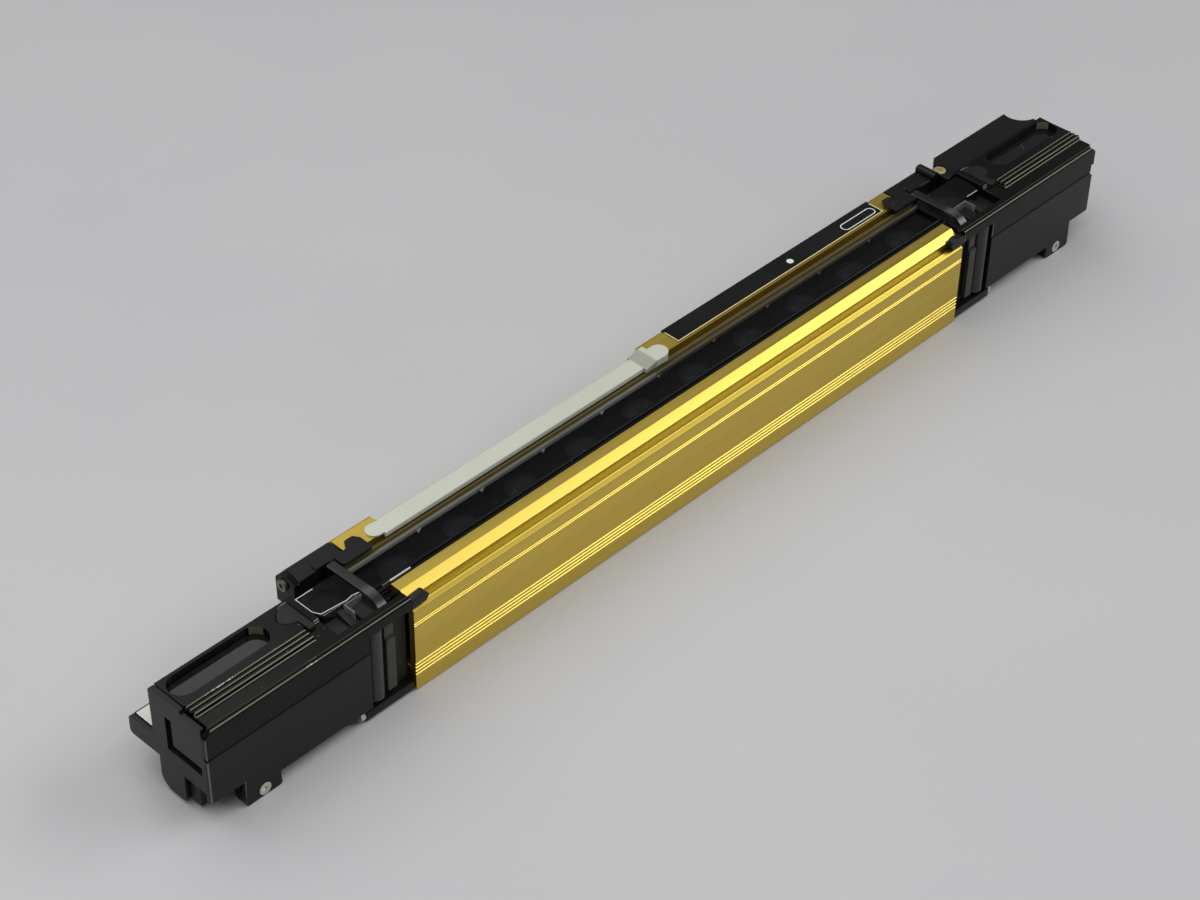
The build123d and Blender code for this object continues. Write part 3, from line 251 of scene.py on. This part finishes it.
def shade_bands(tree, where, colour, bands):
    """Another colour between two places along an axis, for each band."""
    for axis, low, high, soft, shade in bands:
        colour = blend_colours(tree, within(tree, where, axis, low, high, soft), colour, shade)
    return colour


# Finishes

# Darker golds painted as shade on the slot's walls, its low lip and the bottoms of the fine grooves
slot_wall_painted_shade = (0.43, 0.345, 0.085, 1)
slot_lip_painted_shade = (0.40, 0.305, 0.048, 1)
groove_painted_shade = (0.26, 0.195, 0.045, 1)
# Spans in mm across the bar and upright, with the darker gold painted on each as shade
gold_painted_shades = (
    ((-12.66, -11.40), (24.70, 26.80), slot_wall_painted_shade),
    ((-14.05, -13.02), (24.15, 24.95), slot_lip_painted_shade),
    ((-13.88, -13.50, 0.06), (4.5, 21.5), groove_painted_shade),
)


def gold_anodised():
    """Drawn gold, with painted shade on the walls and lip of the mounting slot and in the fine grooves.
    """
    material, tree, surface, where = start_finish("gold_anodised_aluminium")
    drawn = use_effect(tree, drawn_effect, {"Vector": where, "Fineness": 1.0})
    scuffs = scuffs_on(tree, where, 0.35)
    colour = blend_colours(tree, spread(tree, drawn["Streaks"], 0.35, 0.65),
                           (0.66, 0.485, 0.088, 1), (0.73, 0.540, 0.104, 1))
    colour = blend_colours(tree, scuffs["Dust"], colour, (0.62, 0.58, 0.42, 1))
    # Paint each span's darker gold over the drawn gold, as shade
    for across, upright, shade in gold_painted_shades:
        spot = times(tree, within(tree, where, "Y", *across), within(tree, where, "Z", *upright))
        colour = blend_colours(tree, spot, colour, shade)
    feed(tree, surface, {"Base Color": colour, "Metallic": 1.0, "Anisotropic": 0.3,
                         "Roughness": spread(tree, drawn["Streaks"], 0.3, 0.7, 0.33, 0.39)})
    bump_to(tree, surface, drawn["Height"], 0.05, 0.02 * mm)
    return material


# Painted shadow in the gap between the near covers and their end plate: its span in mm along the bar,
# and its black
plate_gap_shadow = (-156.4, -156.05)
painted_gap_shadow = (0.001, 0.001, 0.001, 1)
bare_chip = (0.62, 0.62, 0.56, 1)
dust_on_black = (0.30, 0.29, 0.27, 1)
scratch_on_black = (0.42, 0.42, 0.40, 1)


def moulded_black(name, base, rough, gloss, grain=2600.0, grain_depth=0.12, wear=0.5, bands=(),
                  edge=None, chipped=()):
    """Black moulded plastic. With an edge colour it also has painted highlights on marked edges,
    chips on them and a painted shadow in the gap between the near covers and their end plate."""
    material, tree, surface, where = start_finish(name)
    skin = moulded_skin(tree, where, grain, 55.0)
    scuffs = scuffs_on(tree, where, wear)
    colour = clouded(tree, skin, base, paler(base, 0.001))
    colour = blend_colours(tree, scuffs["Dust"], colour, dust_on_black)
    colour = blend_colours(tree, times(tree, scuffs["Scratches"], 0.10), colour, scratch_on_black)
    colour = shade_bands(tree, where, colour, bands)
    if edge:
        # The edge colour is a painted highlight on the marked rounded edges
        highlit = painted_edge_highlight(tree)
        colour = blend_colours(tree, highlit, colour, edge)
        for left, right, front, back in chipped:
            spot = times(tree, within(tree, where, "X", left, right, 1.0),
                         within(tree, where, "Y", front, back))
            flakes = spread(tree, noise(tree, where, 2100.0, 1.0), 0.50, 0.58)
            chips = times(tree, times(tree, flakes, spot), highlit)
            colour = blend_colours(tree, chips, colour, bare_chip)
        # Painted shadow in that gap, black and metallic so it reflects nothing, kept off the highlighted
        # faces
        gap = maths(tree, "SUBTRACT", within(tree, where, "X", *plate_gap_shadow), highlit, use_clamp=True)
        colour = blend_colours(tree, gap, colour, painted_gap_shadow)
        tree.links.new(gap, surface.inputs["Metallic"])
    scratched = times(tree, scuffs["Scratches"], 0.25)
    roughness = maths(tree, "ADD", uneven(tree, skin, rough - 0.06, rough + 0.09), scratched)
    feed(tree, surface, {"Base Color": colour, "Roughness": roughness, "Specular IOR Level": gloss})
    bump_to(tree, surface, skin["Height"], grain_depth, 0.06 * mm)
    return material


def smoked_window(name, tint, see_through):
    material, tree, surface, where = start_finish(name)
    scuffs = scuffs_on(tree, where, 0.5)
    film = noise(tree, where, 70.0, 4.0)
    colour = blend_colours(tree, scuffs["Dust"], tint, (0.32, 0.32, 0.32, 1))
    roughness = maths(tree, "ADD", spread(tree, film, 0.35, 0.75, 0.05, 0.16),
                      times(tree, scuffs["Scratches"], 0.3))
    feed(tree, surface, {"Base Color": colour, "Roughness": roughness, "Alpha": see_through,
                         "Specular IOR Level": 0.36})
    bump_to(tree, surface, film, 0.02, 0.1 * mm)
    return material


def clear_moulding(name, tint, rough):
    material, tree, surface, where = start_finish(name)
    film = noise(tree, where, 90.0, 2.0)
    feed(tree, surface, {"Base Color": tint, "Transmission Weight": 0.85, "IOR": 1.49,
                         "Roughness": spread(tree, film, 0.3, 0.7, rough, rough + 0.08)})
    bump_to(tree, surface, film, 0.015, 0.1 * mm)
    return material


def soft_rubber(name, base, gloss, bands=()):
    material, tree, surface, where = start_finish(name)
    skin = moulded_skin(tree, where, 1900.0, 80.0)
    scuffs = scuffs_on(tree, where, 0.7)
    colour = clouded(tree, skin, base, paler(base))
    colour = blend_colours(tree, scuffs["Dust"], colour, (0.35, 0.34, 0.31, 1))
    colour = shade_bands(tree, where, colour, bands)
    feed(tree, surface, {"Base Color": colour, "Specular IOR Level": gloss,
                         "Roughness": uneven(tree, skin, 0.30, 0.45)})
    bump_to(tree, surface, skin["Height"], 0.12, 0.08 * mm)
    return material


# Painted shade on the strip's short ramp: its span and softness in mm along the bar, and its strength
strip_ramp_shade_span = (-1.6, 2.0, 0.6)
ramp_shade_strength = 0.85


def pale_moulding(name, base, light, rough, ramp=None):
    """Pale moulded plastic. With a ramp colour it has painted shade, greyer, where the strip's
    short ramp faces the near end."""
    material, tree, surface, where = start_finish(name)
    skin = moulded_skin(tree, where, 2200.0, 45.0)
    colour = clouded(tree, skin, base, light, 0.3, 0.75)
    if ramp:
        # Painted shade over the short ramp
        shaded = times(tree, within(tree, where, "X", *strip_ramp_shade_span), ramp_shade_strength)
        colour = blend_colours(tree, shaded, colour, ramp)
    feed(tree, surface, {"Base Color": colour, "Roughness": uneven(tree, skin, rough, rough + 0.12)})
    bump_to(tree, surface, skin["Height"], 0.08, 0.06 * mm)
    return material


def plated_screw(name, shade, light):
    material, tree, surface, where = start_finish(name)
    skin = moulded_skin(tree, where, 1500.0, 420.0)
    feed(tree, surface, {"Base Color": clouded(tree, skin, shade, light), "Metallic": 0.75,
                         "Roughness": uneven(tree, skin, 0.28, 0.45)})
    bump_to(tree, surface, skin["Height"], 0.12, 0.05 * mm)
    return material


def printed_black():
    material, tree, surface, where = start_finish("black_printed_film")
    skin = moulded_skin(tree, where, 3200.0, 90.0)
    colour = clouded(tree, skin, (0.0035, 0.0035, 0.004, 1), (0.006, 0.006, 0.0065, 1))
    feed(tree, surface, {"Base Color": colour, "Specular IOR Level": 0.28,
                         "Roughness": uneven(tree, skin, 0.26, 0.36)})
    bump_to(tree, surface, skin["Height"], 0.06, 0.04 * mm)
    return material


def circuit_board():
    material, tree, surface, where = start_finish("green_circuit_board")
    tracks = node(tree, "ShaderNodeTexBrick",
                  {"Vector": where, "Scale": 160.0, "Mortar Size": 0.03,
                   "Color1": (0.020, 0.095, 0.040, 1), "Color2": (0.026, 0.120, 0.050, 1),
                   "Mortar": (0.05, 0.19, 0.08, 1)})
    feed(tree, surface, {"Base Color": tracks.outputs["Color"],
                         "Roughness": spread(tree, noise(tree, where, 300.0), 0.3, 0.7, 0.3, 0.45)})
    return material


def pale_mat():
    material, tree, surface, where = start_finish("pale_mat")
    cloud = spread(tree, noise(tree, where, 6.0), 0.3, 0.7)
    colour = blend_colours(tree, cloud, (0.49, 0.49, 0.50, 1), (0.52, 0.52, 0.525, 1))
    feed(tree, surface, {"Base Color": colour, "Roughness": 0.6, "Specular IOR Level": 0.2})
    return material


# Places in mm: along the bar for X, across it for Y
# Back seal: darker olive from the middle of the bar towards the far end, and brown painted across its
# back bead as the gold wall in shade
seal_bands_with_painted_shade = (("X", 0.5, 110.0, 1.0, (0.050, 0.046, 0.024, 1)),
              ("Y", 4.7, 7.1, 0.1, (0.075, 0.054, 0.014, 1)))
# Lighter greys painted on the clamp band as sheen, in two spans towards its front end
clamp_painted_sheen = (("Y", -11.4, -9.2, 0.8, (0.08, 0.08, 0.07, 1)),
               ("Y", -6.8, -4.2, 2.2, (0.07, 0.07, 0.06, 1)))
cover_chips = ((-127.6, -124.4, -14.1, -12.0), (-149.0, -141.0, -6.4, -5.0))

finishes = {
    "gold": gold_anodised(),
    "window": smoked_window("smoked_window", (0.003, 0.003, 0.0035, 1), 0.50),
    "grey_window": smoked_window("grey_window", (0.007, 0.0075, 0.008, 1), 0.94),
    "rubber": soft_rubber("dark_seal_rubber", (0.0035, 0.0035, 0.0033, 1), 0.12),
    "back_rubber": soft_rubber("grey_seal_rubber", (0.095, 0.095, 0.083, 1), 0.20, seal_bands_with_painted_shade),
    "inner": moulded_black("black_inner_moulding", (0.0085, 0.0085, 0.008, 1), 0.45, 0.25,
                           grain_depth=0.03, wear=0.1),
    "lens": clear_moulding("moulded_lens", (0.50, 0.54, 0.58, 1), 0.20),
    "board": circuit_board(),
    "diode": moulded_black("dark_epoxy", (0.010, 0.006, 0.012, 1), 0.15, 0.6, wear=0.0),
    "label": printed_black(),
    # Its ramp colour is painted shade on the short ramp
    "strip": pale_moulding("pale_grey_green_moulding", (0.50, 0.515, 0.425, 1),
                           (0.545, 0.56, 0.47, 1), 0.42, ramp=(0.27, 0.29, 0.235, 1)),
    "screw": plated_screw("pale_plated_screw", (0.60, 0.60, 0.49, 1), (0.78, 0.78, 0.70, 1)),
    "dull_screw": plated_screw("dull_screw", (0.13, 0.13, 0.10, 1), (0.26, 0.26, 0.21, 1)),
    "gold_screw": plated_screw("gold_plated_screw", (0.52, 0.46, 0.22, 1), (0.66, 0.60, 0.34, 1)),
    # Satin and gloss black carry painted edge highlights in their edge colours
    "satin": moulded_black("satin_black_moulding", (0.0052, 0.0054, 0.0050, 1), 0.29, 0.22,
                           wear=0.2, edge=(0.13, 0.135, 0.11, 1)),
    "gloss": moulded_black("gloss_black_moulding", (0.0034, 0.0034, 0.0032, 1), 0.15, 0.13,
                           grain=1700.0, grain_depth=0.03, wear=0.3,
                           edge=(0.155, 0.155, 0.105, 1), chipped=cover_chips),
    # A lighter copy of the black moulding, as painted light on the coupler's recessed panels and ribs
    "painted_light_panel": moulded_black("coupler_moulding_painted_light", (0.026, 0.0265, 0.024, 1), 0.32, 0.35, wear=0.1),
    "band": moulded_black("polished_black_band", (0.008, 0.008, 0.008, 1), 0.22, 0.40, wear=0.1,
                          bands=clamp_painted_sheen),
    "grey": moulded_black("grey_satin_moulding", (0.010, 0.0105, 0.010, 1), 0.30, 0.26, wear=0.2),
    "clear": clear_moulding("clear_clip", (0.60, 0.63, 0.61, 1), 0.24),
    "plate": moulded_black("painted_sheet", (0.0055, 0.0057, 0.0057, 1), 0.34, 0.28, grain=1300.0,
                           grain_depth=0.08, wear=0.2),
    "shelf": pale_moulding("pale_bare_plate", (0.62, 0.67, 0.60, 1), (0.70, 0.73, 0.66, 1), 0.5),
    "print": pale_moulding("pale_print", (0.70, 0.70, 0.66, 1), (0.76, 0.76, 0.71, 1), 0.5),
    # Pale ribbons that stand as painted highlights
    "rim": pale_moulding("bright_window_rim", (0.62, 0.63, 0.62, 1), (0.74, 0.75, 0.74, 1), 0.3),
    "grey_highlight_line": pale_moulding("painted_grey_highlight", (0.10, 0.10, 0.09, 1), (0.15, 0.15, 0.14, 1), 0.3),
    "gold_line": pale_moulding("pale_gold_line", (0.66, 0.56, 0.26, 1), (0.72, 0.62, 0.32, 1), 0.4),
}


# Carried-over pieces. The two end units' pieces are listed once, without left_ or right_

finish_of = {
    "aluminium_housing": "gold", "front_window": "window", "back_window_seal": "back_rubber",
    "front_window_seal": "rubber", "optics_chassis": "inner", "beam_lenses": "lens",
    "emitter_board": "board", "emitter_diodes": "diode", "label_plate": "label",
    "edge_strip": "strip", "lug_screws": "screw", "rail_screws": "screw",
    "cable_grommet": "rubber",
    "end_core": "inner", "end_lenses": "lens", "lower_cover": "satin", "upper_cover": "gloss",
    "leaf_tab": "grey", "twin_window": "grey_window", "single_window": "window",
    "clamp_band": "band", "clear_clip": "clear", "well_bracket": "grey", "well_pad": "satin",
    "coupler_rib": "painted_light_panel", "coupler_panel": "painted_light_panel", "base_rail": "satin",
    "flange_cover": "satin", "flange_hook": "satin", "slot_tongue": "satin",
    "end_plate": "plate", "back_lug": "gloss", "back_screw": "dull_screw", "side_shelf": "satin",
    "shelf_plate": "shelf", "wide_cover": "satin", "cross_bar": "satin", "top_screw": "gold_screw",
}
# Widths of the broken edges in mm
edge_widths = {
    "aluminium_housing": 0.07, "edge_strip": 0.45, "label_plate": 0.04, "front_window": 0.15,
    "lower_cover": 0.30, "upper_cover": 0.20, "leaf_tab": 0.20, "twin_window": 0.15,
    "single_window": 0.22, "clamp_band": 0.22, "clear_clip": 0.15, "well_bracket": 0.15,
    "well_pad": 0.20, "coupler_rib": 0.25, "coupler_panel": 0.20, "base_rail": 0.20,
    "flange_cover": 0.20, "flange_hook": 0.20, "slot_tongue": 0.25, "end_plate": 0.16,
    "back_lug": 0.22, "side_shelf": 0.20, "wide_cover": 0.22, "cross_bar": 0.22,
    "shelf_plate": 0.05, "end_core": 0.15,
}

shade_sharp = math.radians(32.0)
weld = 0.002 * mm
flat_turn = math.radians(0.6)
room_for_edge = 2.4
# Widest face that may carry a painted edge highlight
widest_highlit = 0.5 * mm


def plain_name(name):
    """The piece's name without the side of its end unit."""
    side, _, rest = name.partition("_")
    return rest if side in ("left", "right") else name


def finish_for(name):
    return finishes[finish_of[plain_name(name)]]


def to_mesh(name, shape):
    mesh = bpy.data.meshes.new(name)
    shape.to_mesh(mesh)
    shape.free()
    return mesh


def new_piece(name, mesh, finish):
    piece = bpy.data.objects.new(name, mesh)
    scene.collection.objects.link(piece)
    mesh.materials.clear()
    mesh.materials.append(finish)
    for face in mesh.polygons:
        face.use_smooth = True
    if "custom_normal" in mesh.attributes:
        mesh.attributes.remove(mesh.attributes["custom_normal"])
    mesh.update()
    mesh.set_sharp_from_angle(angle=shade_sharp)
    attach(piece, "root")
    return piece


def narrower(face, width):
    """True for a face whose area is that of a strip narrower than width."""
    return face.calc_area() < width * max(edge.calc_length() for edge in face.edges)


def rounded_edges(name, width, segments=2, angle=38.0, stay_sharp=lambda edge: False,
                  highlit=lambda face: False):
    """The piece again, with its sharp edges broken as on the real one."""
    shape = bmesh.new()
    shape.from_mesh(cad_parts[name].data)
    mark = shape.faces.layers.float.new("painted_edge_highlight")
    bmesh.ops.remove_doubles(shape, verts=shape.verts, dist=weld)
    bmesh.ops.dissolve_limit(shape, angle_limit=flat_turn, verts=shape.verts, edges=shape.edges)
    narrow = {face for face in shape.faces if narrower(face, room_for_edge * width * mm)}
    edges = [edge for edge in shape.edges
             if len(edge.link_faces) == 2 and edge.calc_face_angle(0.0) > math.radians(angle)
             and not narrow.intersection(edge.link_faces) and not stay_sharp(edge)]
    bmesh.ops.bevel(shape, geom=edges, offset=width * mm, offset_type="OFFSET", affect="EDGES",
                    segments=segments, profile=0.5, material=-1, clamp_overlap=False)
    shape.normal_update()
    # Mark the narrow faces that get a painted edge highlight
    for face in shape.faces:
        if highlit(face) and narrower(face, widest_highlit):
            face[mark] = 1.0
    bmesh.ops.remove_doubles(shape, verts=shape.verts, dist=weld)
    bmesh.ops.triangulate(shape, faces=[face for face in shape.faces if len(face.verts) > 4])
    mesh = to_mesh(name + "_finished", shape)
    piece = new_piece(name + "_finished", mesh, finish_for(name))
    steady = piece.modifiers.new("even_shading", "WEIGHTED_NORMAL")
    steady.keep_sharp = True
    steady.weight = 100
    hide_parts(name)


# How far a face leans, as a part of its normal, and where the step and grooves lie in mm
lean = 0.3
ridge_low, ridge_high = -0.80, -0.50
step_front, step_back, step_bottom = -12.9 * mm, -12.4 * mm, 28.3 * mm
groove_back, groove_low, groove_high = -13.3 * mm, 1.5 * mm, 22.0 * mm


def on_near_corner(face):
    """True on the rounded upright corner beside the end plate."""
    normal = face.normal
    return normal.y < -lean and normal.x < -lean and abs(normal.z) < lean


def on_highlit_ridge(face):
    """Faces for a painted highlight: true on the near corner, the ridge edges, the front top edge and
    the step behind it.
    """
    normal, middle = face.normal, face.calc_center_median()
    along = abs(normal.x) < lean and normal.z > -0.1
    edge = ridge_low < normal.y < ridge_high and normal.z > 0
    step = normal.y < -0.95 and step_front < middle.y < step_back and middle.z > step_bottom
    return along and (edge or step) or on_near_corner(face)


def in_fine_groove(edge):
    """True for the sharp edges of the fine grooves on the gold side."""
    return all(vert.co.y < groove_back and groove_low < vert.co.z < groove_high
               for vert in edge.verts)


# Per piece: sharpness, and which faces get a painted edge highlight
edge_care = {
    "aluminium_housing": {"angle": 24.0, "stay_sharp": in_fine_groove},
    "left_upper_cover": {"segments": 1, "highlit": on_highlit_ridge},
    "right_upper_cover": {"segments": 1, "highlit": on_highlit_ridge},
    "left_lower_cover": {"highlit": on_near_corner},
}
for name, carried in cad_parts.items():
    carried.data.materials.clear()
    carried.data.materials.append(finish_for(name))
    width = edge_widths.get(plain_name(name))
    if width:
        rounded_edges(name, width, **edge_care.get(name, {}))


# Thin raised lines

def raise_flat(shape, height):
    """Gives flat faces their thickness upwards."""
    raised = bmesh.ops.extrude_face_region(shape, geom=shape.faces[:])
    top = [part for part in raised["geom"] if isinstance(part, bmesh.types.BMVert)]
    bmesh.ops.translate(shape, vec=(0, 0, height), verts=top)
    bmesh.ops.recalc_face_normals(shape, faces=shape.faces)


def raised_outline(name, corners, base, line, height, finish):
    """A thin closed line along the inside of a flat outline."""
    shape = bmesh.new()
    face = shape.faces.new([shape.verts.new((x, y, base)) for x, y in corners])
    face.normal_update()
    if face.normal.z < 0:
        bmesh.ops.reverse_faces(shape, faces=[face])
    bmesh.ops.inset_region(shape, faces=[face], thickness=line, use_even_offset=True,
                           use_boundary=True)
    bmesh.ops.delete(shape, geom=[face], context="FACES_ONLY")
    raise_flat(shape, height)
    new_piece(name, to_mesh(name, shape), finish)


def rounded_corners(low, high, radius, steps):
    """The plan points of a rectangle with round corners."""
    left, right = low[0] + radius, high[0] - radius
    front, back = low[1] + radius, high[1] - radius
    points = []
    for quarter, (x, y) in enumerate(((right, back), (left, back), (left, front), (right, front))):
        for step in range(steps + 1):
            angle = math.radians(90 * quarter + 90 * step / steps)
            points.append((x + radius * math.cos(angle), y + radius * math.sin(angle)))
    return points


def thin_line(name, points, base, width, height, finish):
    """A thin raised ribbon along a path of plan points, mitred at its corners."""
    path = [Vector(point) for point in points]
    sides = ([], [])
    for index, point in enumerate(path):
        ways = []
        if index:
            ways.append((point - path[index - 1]).normalized())
        if index < len(path) - 1:
            ways.append((path[index + 1] - point).normalized())
        across = sum((Vector((-way.y, way.x)) for way in ways), Vector((0, 0))).normalized()
        reach = width / 2 / max(0.5, across.dot(Vector((-ways[0].y, ways[0].x))))
        sides[0].append(point + across * reach)
        sides[1].append(point - across * reach)
    shape = bmesh.new()
    left, right = [[shape.verts.new((p.x, p.y, base)) for p in side] for side in sides]
    for index in range(len(path) - 1):
        shape.faces.new((left[index], left[index + 1], right[index + 1], right[index]))
    raise_flat(shape, height)
    new_piece(name, to_mesh(name, shape), finish)


# The bare label's printed lines and its edge that turns over the back of the bar

label_low, label_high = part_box("label_plate")
bar_low, bar_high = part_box("aluminium_housing")
print_height = 0.03 * mm
sunk = 0.01 * mm
border_inset = 0.2 * mm
border_back = 0.1 * mm
border_width = 0.30 * mm
ring_length_from, ring_length_to = 14.0 * mm, 1.3 * mm
ring_front, ring_back = 1.0 * mm, 1.1 * mm
ring_radius = 1.35 * mm
ring_width = 0.26 * mm
dot_place = (57.35 * mm, 10.4 * mm)
dot_radius = 0.95 * mm
dot_top_radius = 0.93 * mm
turned_middle = 0.55 * mm
turned_width = 1.14 * mm
turned_height = 0.12 * mm


def label_lines():
    low, high = label_low, label_high
    left, right = low.x + border_inset, high.x - border_inset
    front, back = low.y + border_inset, high.y - border_back
    thin_line("label_border", [(left, back), (left, front), (right, front), (right, back)],
              high.z - sunk, border_width, print_height + sunk, finishes["gold_line"])
    ring = rounded_corners((high.x - ring_length_from, low.y + ring_front),
                           (high.x - ring_length_to, high.y - ring_back), ring_radius, 8)
    raised_outline("label_ring", ring, high.z, ring_width, print_height, finishes["print"])
    turned = high.y + turned_middle
    thin_line("label_turned_edge", [(low.x, turned), (high.x, turned)], bar_high.z - sunk,
              turned_width, turned_height, finishes["label"])


def label_dot():
    shape = bmesh.new()
    middle = Matrix.Translation((*dot_place, label_high.z + print_height / 2))
    bmesh.ops.create_cone(shape, cap_ends=True, cap_tris=False, segments=40, radius1=dot_radius,
                          radius2=dot_top_radius, depth=print_height, matrix=middle)
    new_piece("label_dot", to_mesh("label_dot", shape), finishes["print"])


label_lines()
label_dot()


# Painted highlights: bright lines along the rims of the small windows and on the front seal, as thin
# raised ribbons

def end_points(side, places):
    """Plan points from (distance out from the bar's end, depth from its front face) in mm."""
    if side == "left":
        return [(bar_low.x - out * mm, bar_low.y + depth * mm) for out, depth in places]
    return [(bar_high.x + out * mm, bar_low.y + depth * mm) for out, depth in places]


# Paths of the painted highlights along the small windows' rims
window_rims = {
    "left": ((13.8, 17.7), (18.8, 17.7), (18.8, 12.2), (17.9, 10.3), (12.2, 9.75), (11.0, 9.6),
             (9.1, 10.0), (7.3, 9.6)),
    "right": ((13.4, 9.75), (17.6, 9.75)),
}
rim_sunk, rim_width, rim_height = 0.02 * mm, 0.16 * mm, 0.06 * mm
for side, places in window_rims.items():
    rim_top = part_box(f"{side}_single_window")[1].z
    thin_line(f"{side}_window_rim", end_points(side, places), rim_top - rim_sunk, rim_width,
              rim_height, finishes["rim"])

# A white and a grey painted highlight along the front seal
seal_highlight_lines = {
    "front_seal_shine": (-1.4, -7.6, 0.30, 0.34, "rim"),
    "front_seal_line": (0.9, -1.4, 0.24, 0.33, "grey_highlight_line"),
}
seal_line_depth = 9.2
seal_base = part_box("front_window_seal")[1].z - 0.3 * mm
for name, (start, end, width, height, finish) in seal_highlight_lines.items():
    places = ((start, seal_line_depth), (end, seal_line_depth))
    thin_line(name, end_points("left", places), seal_base, width * mm, height * mm,
              finishes[finish])


# Floor

floor_reach = 6.0
floor_drop = 0.05 * mm


def lay_floor():
    shape = bmesh.new()
    bmesh.ops.create_grid(shape, x_segments=2, y_segments=2, size=floor_reach)
    bmesh.ops.translate(shape, verts=shape.verts, vec=(0, 0, -floor_drop))
    floor = bpy.data.objects.new("studio_floor", to_mesh("studio_floor", shape))
    scene.collection.objects.link(floor)
    floor.data.materials.append(pale_mat())


lay_floor()
light_the_room()
place_camera()
scene.view_settings.view_transform = "Standard"
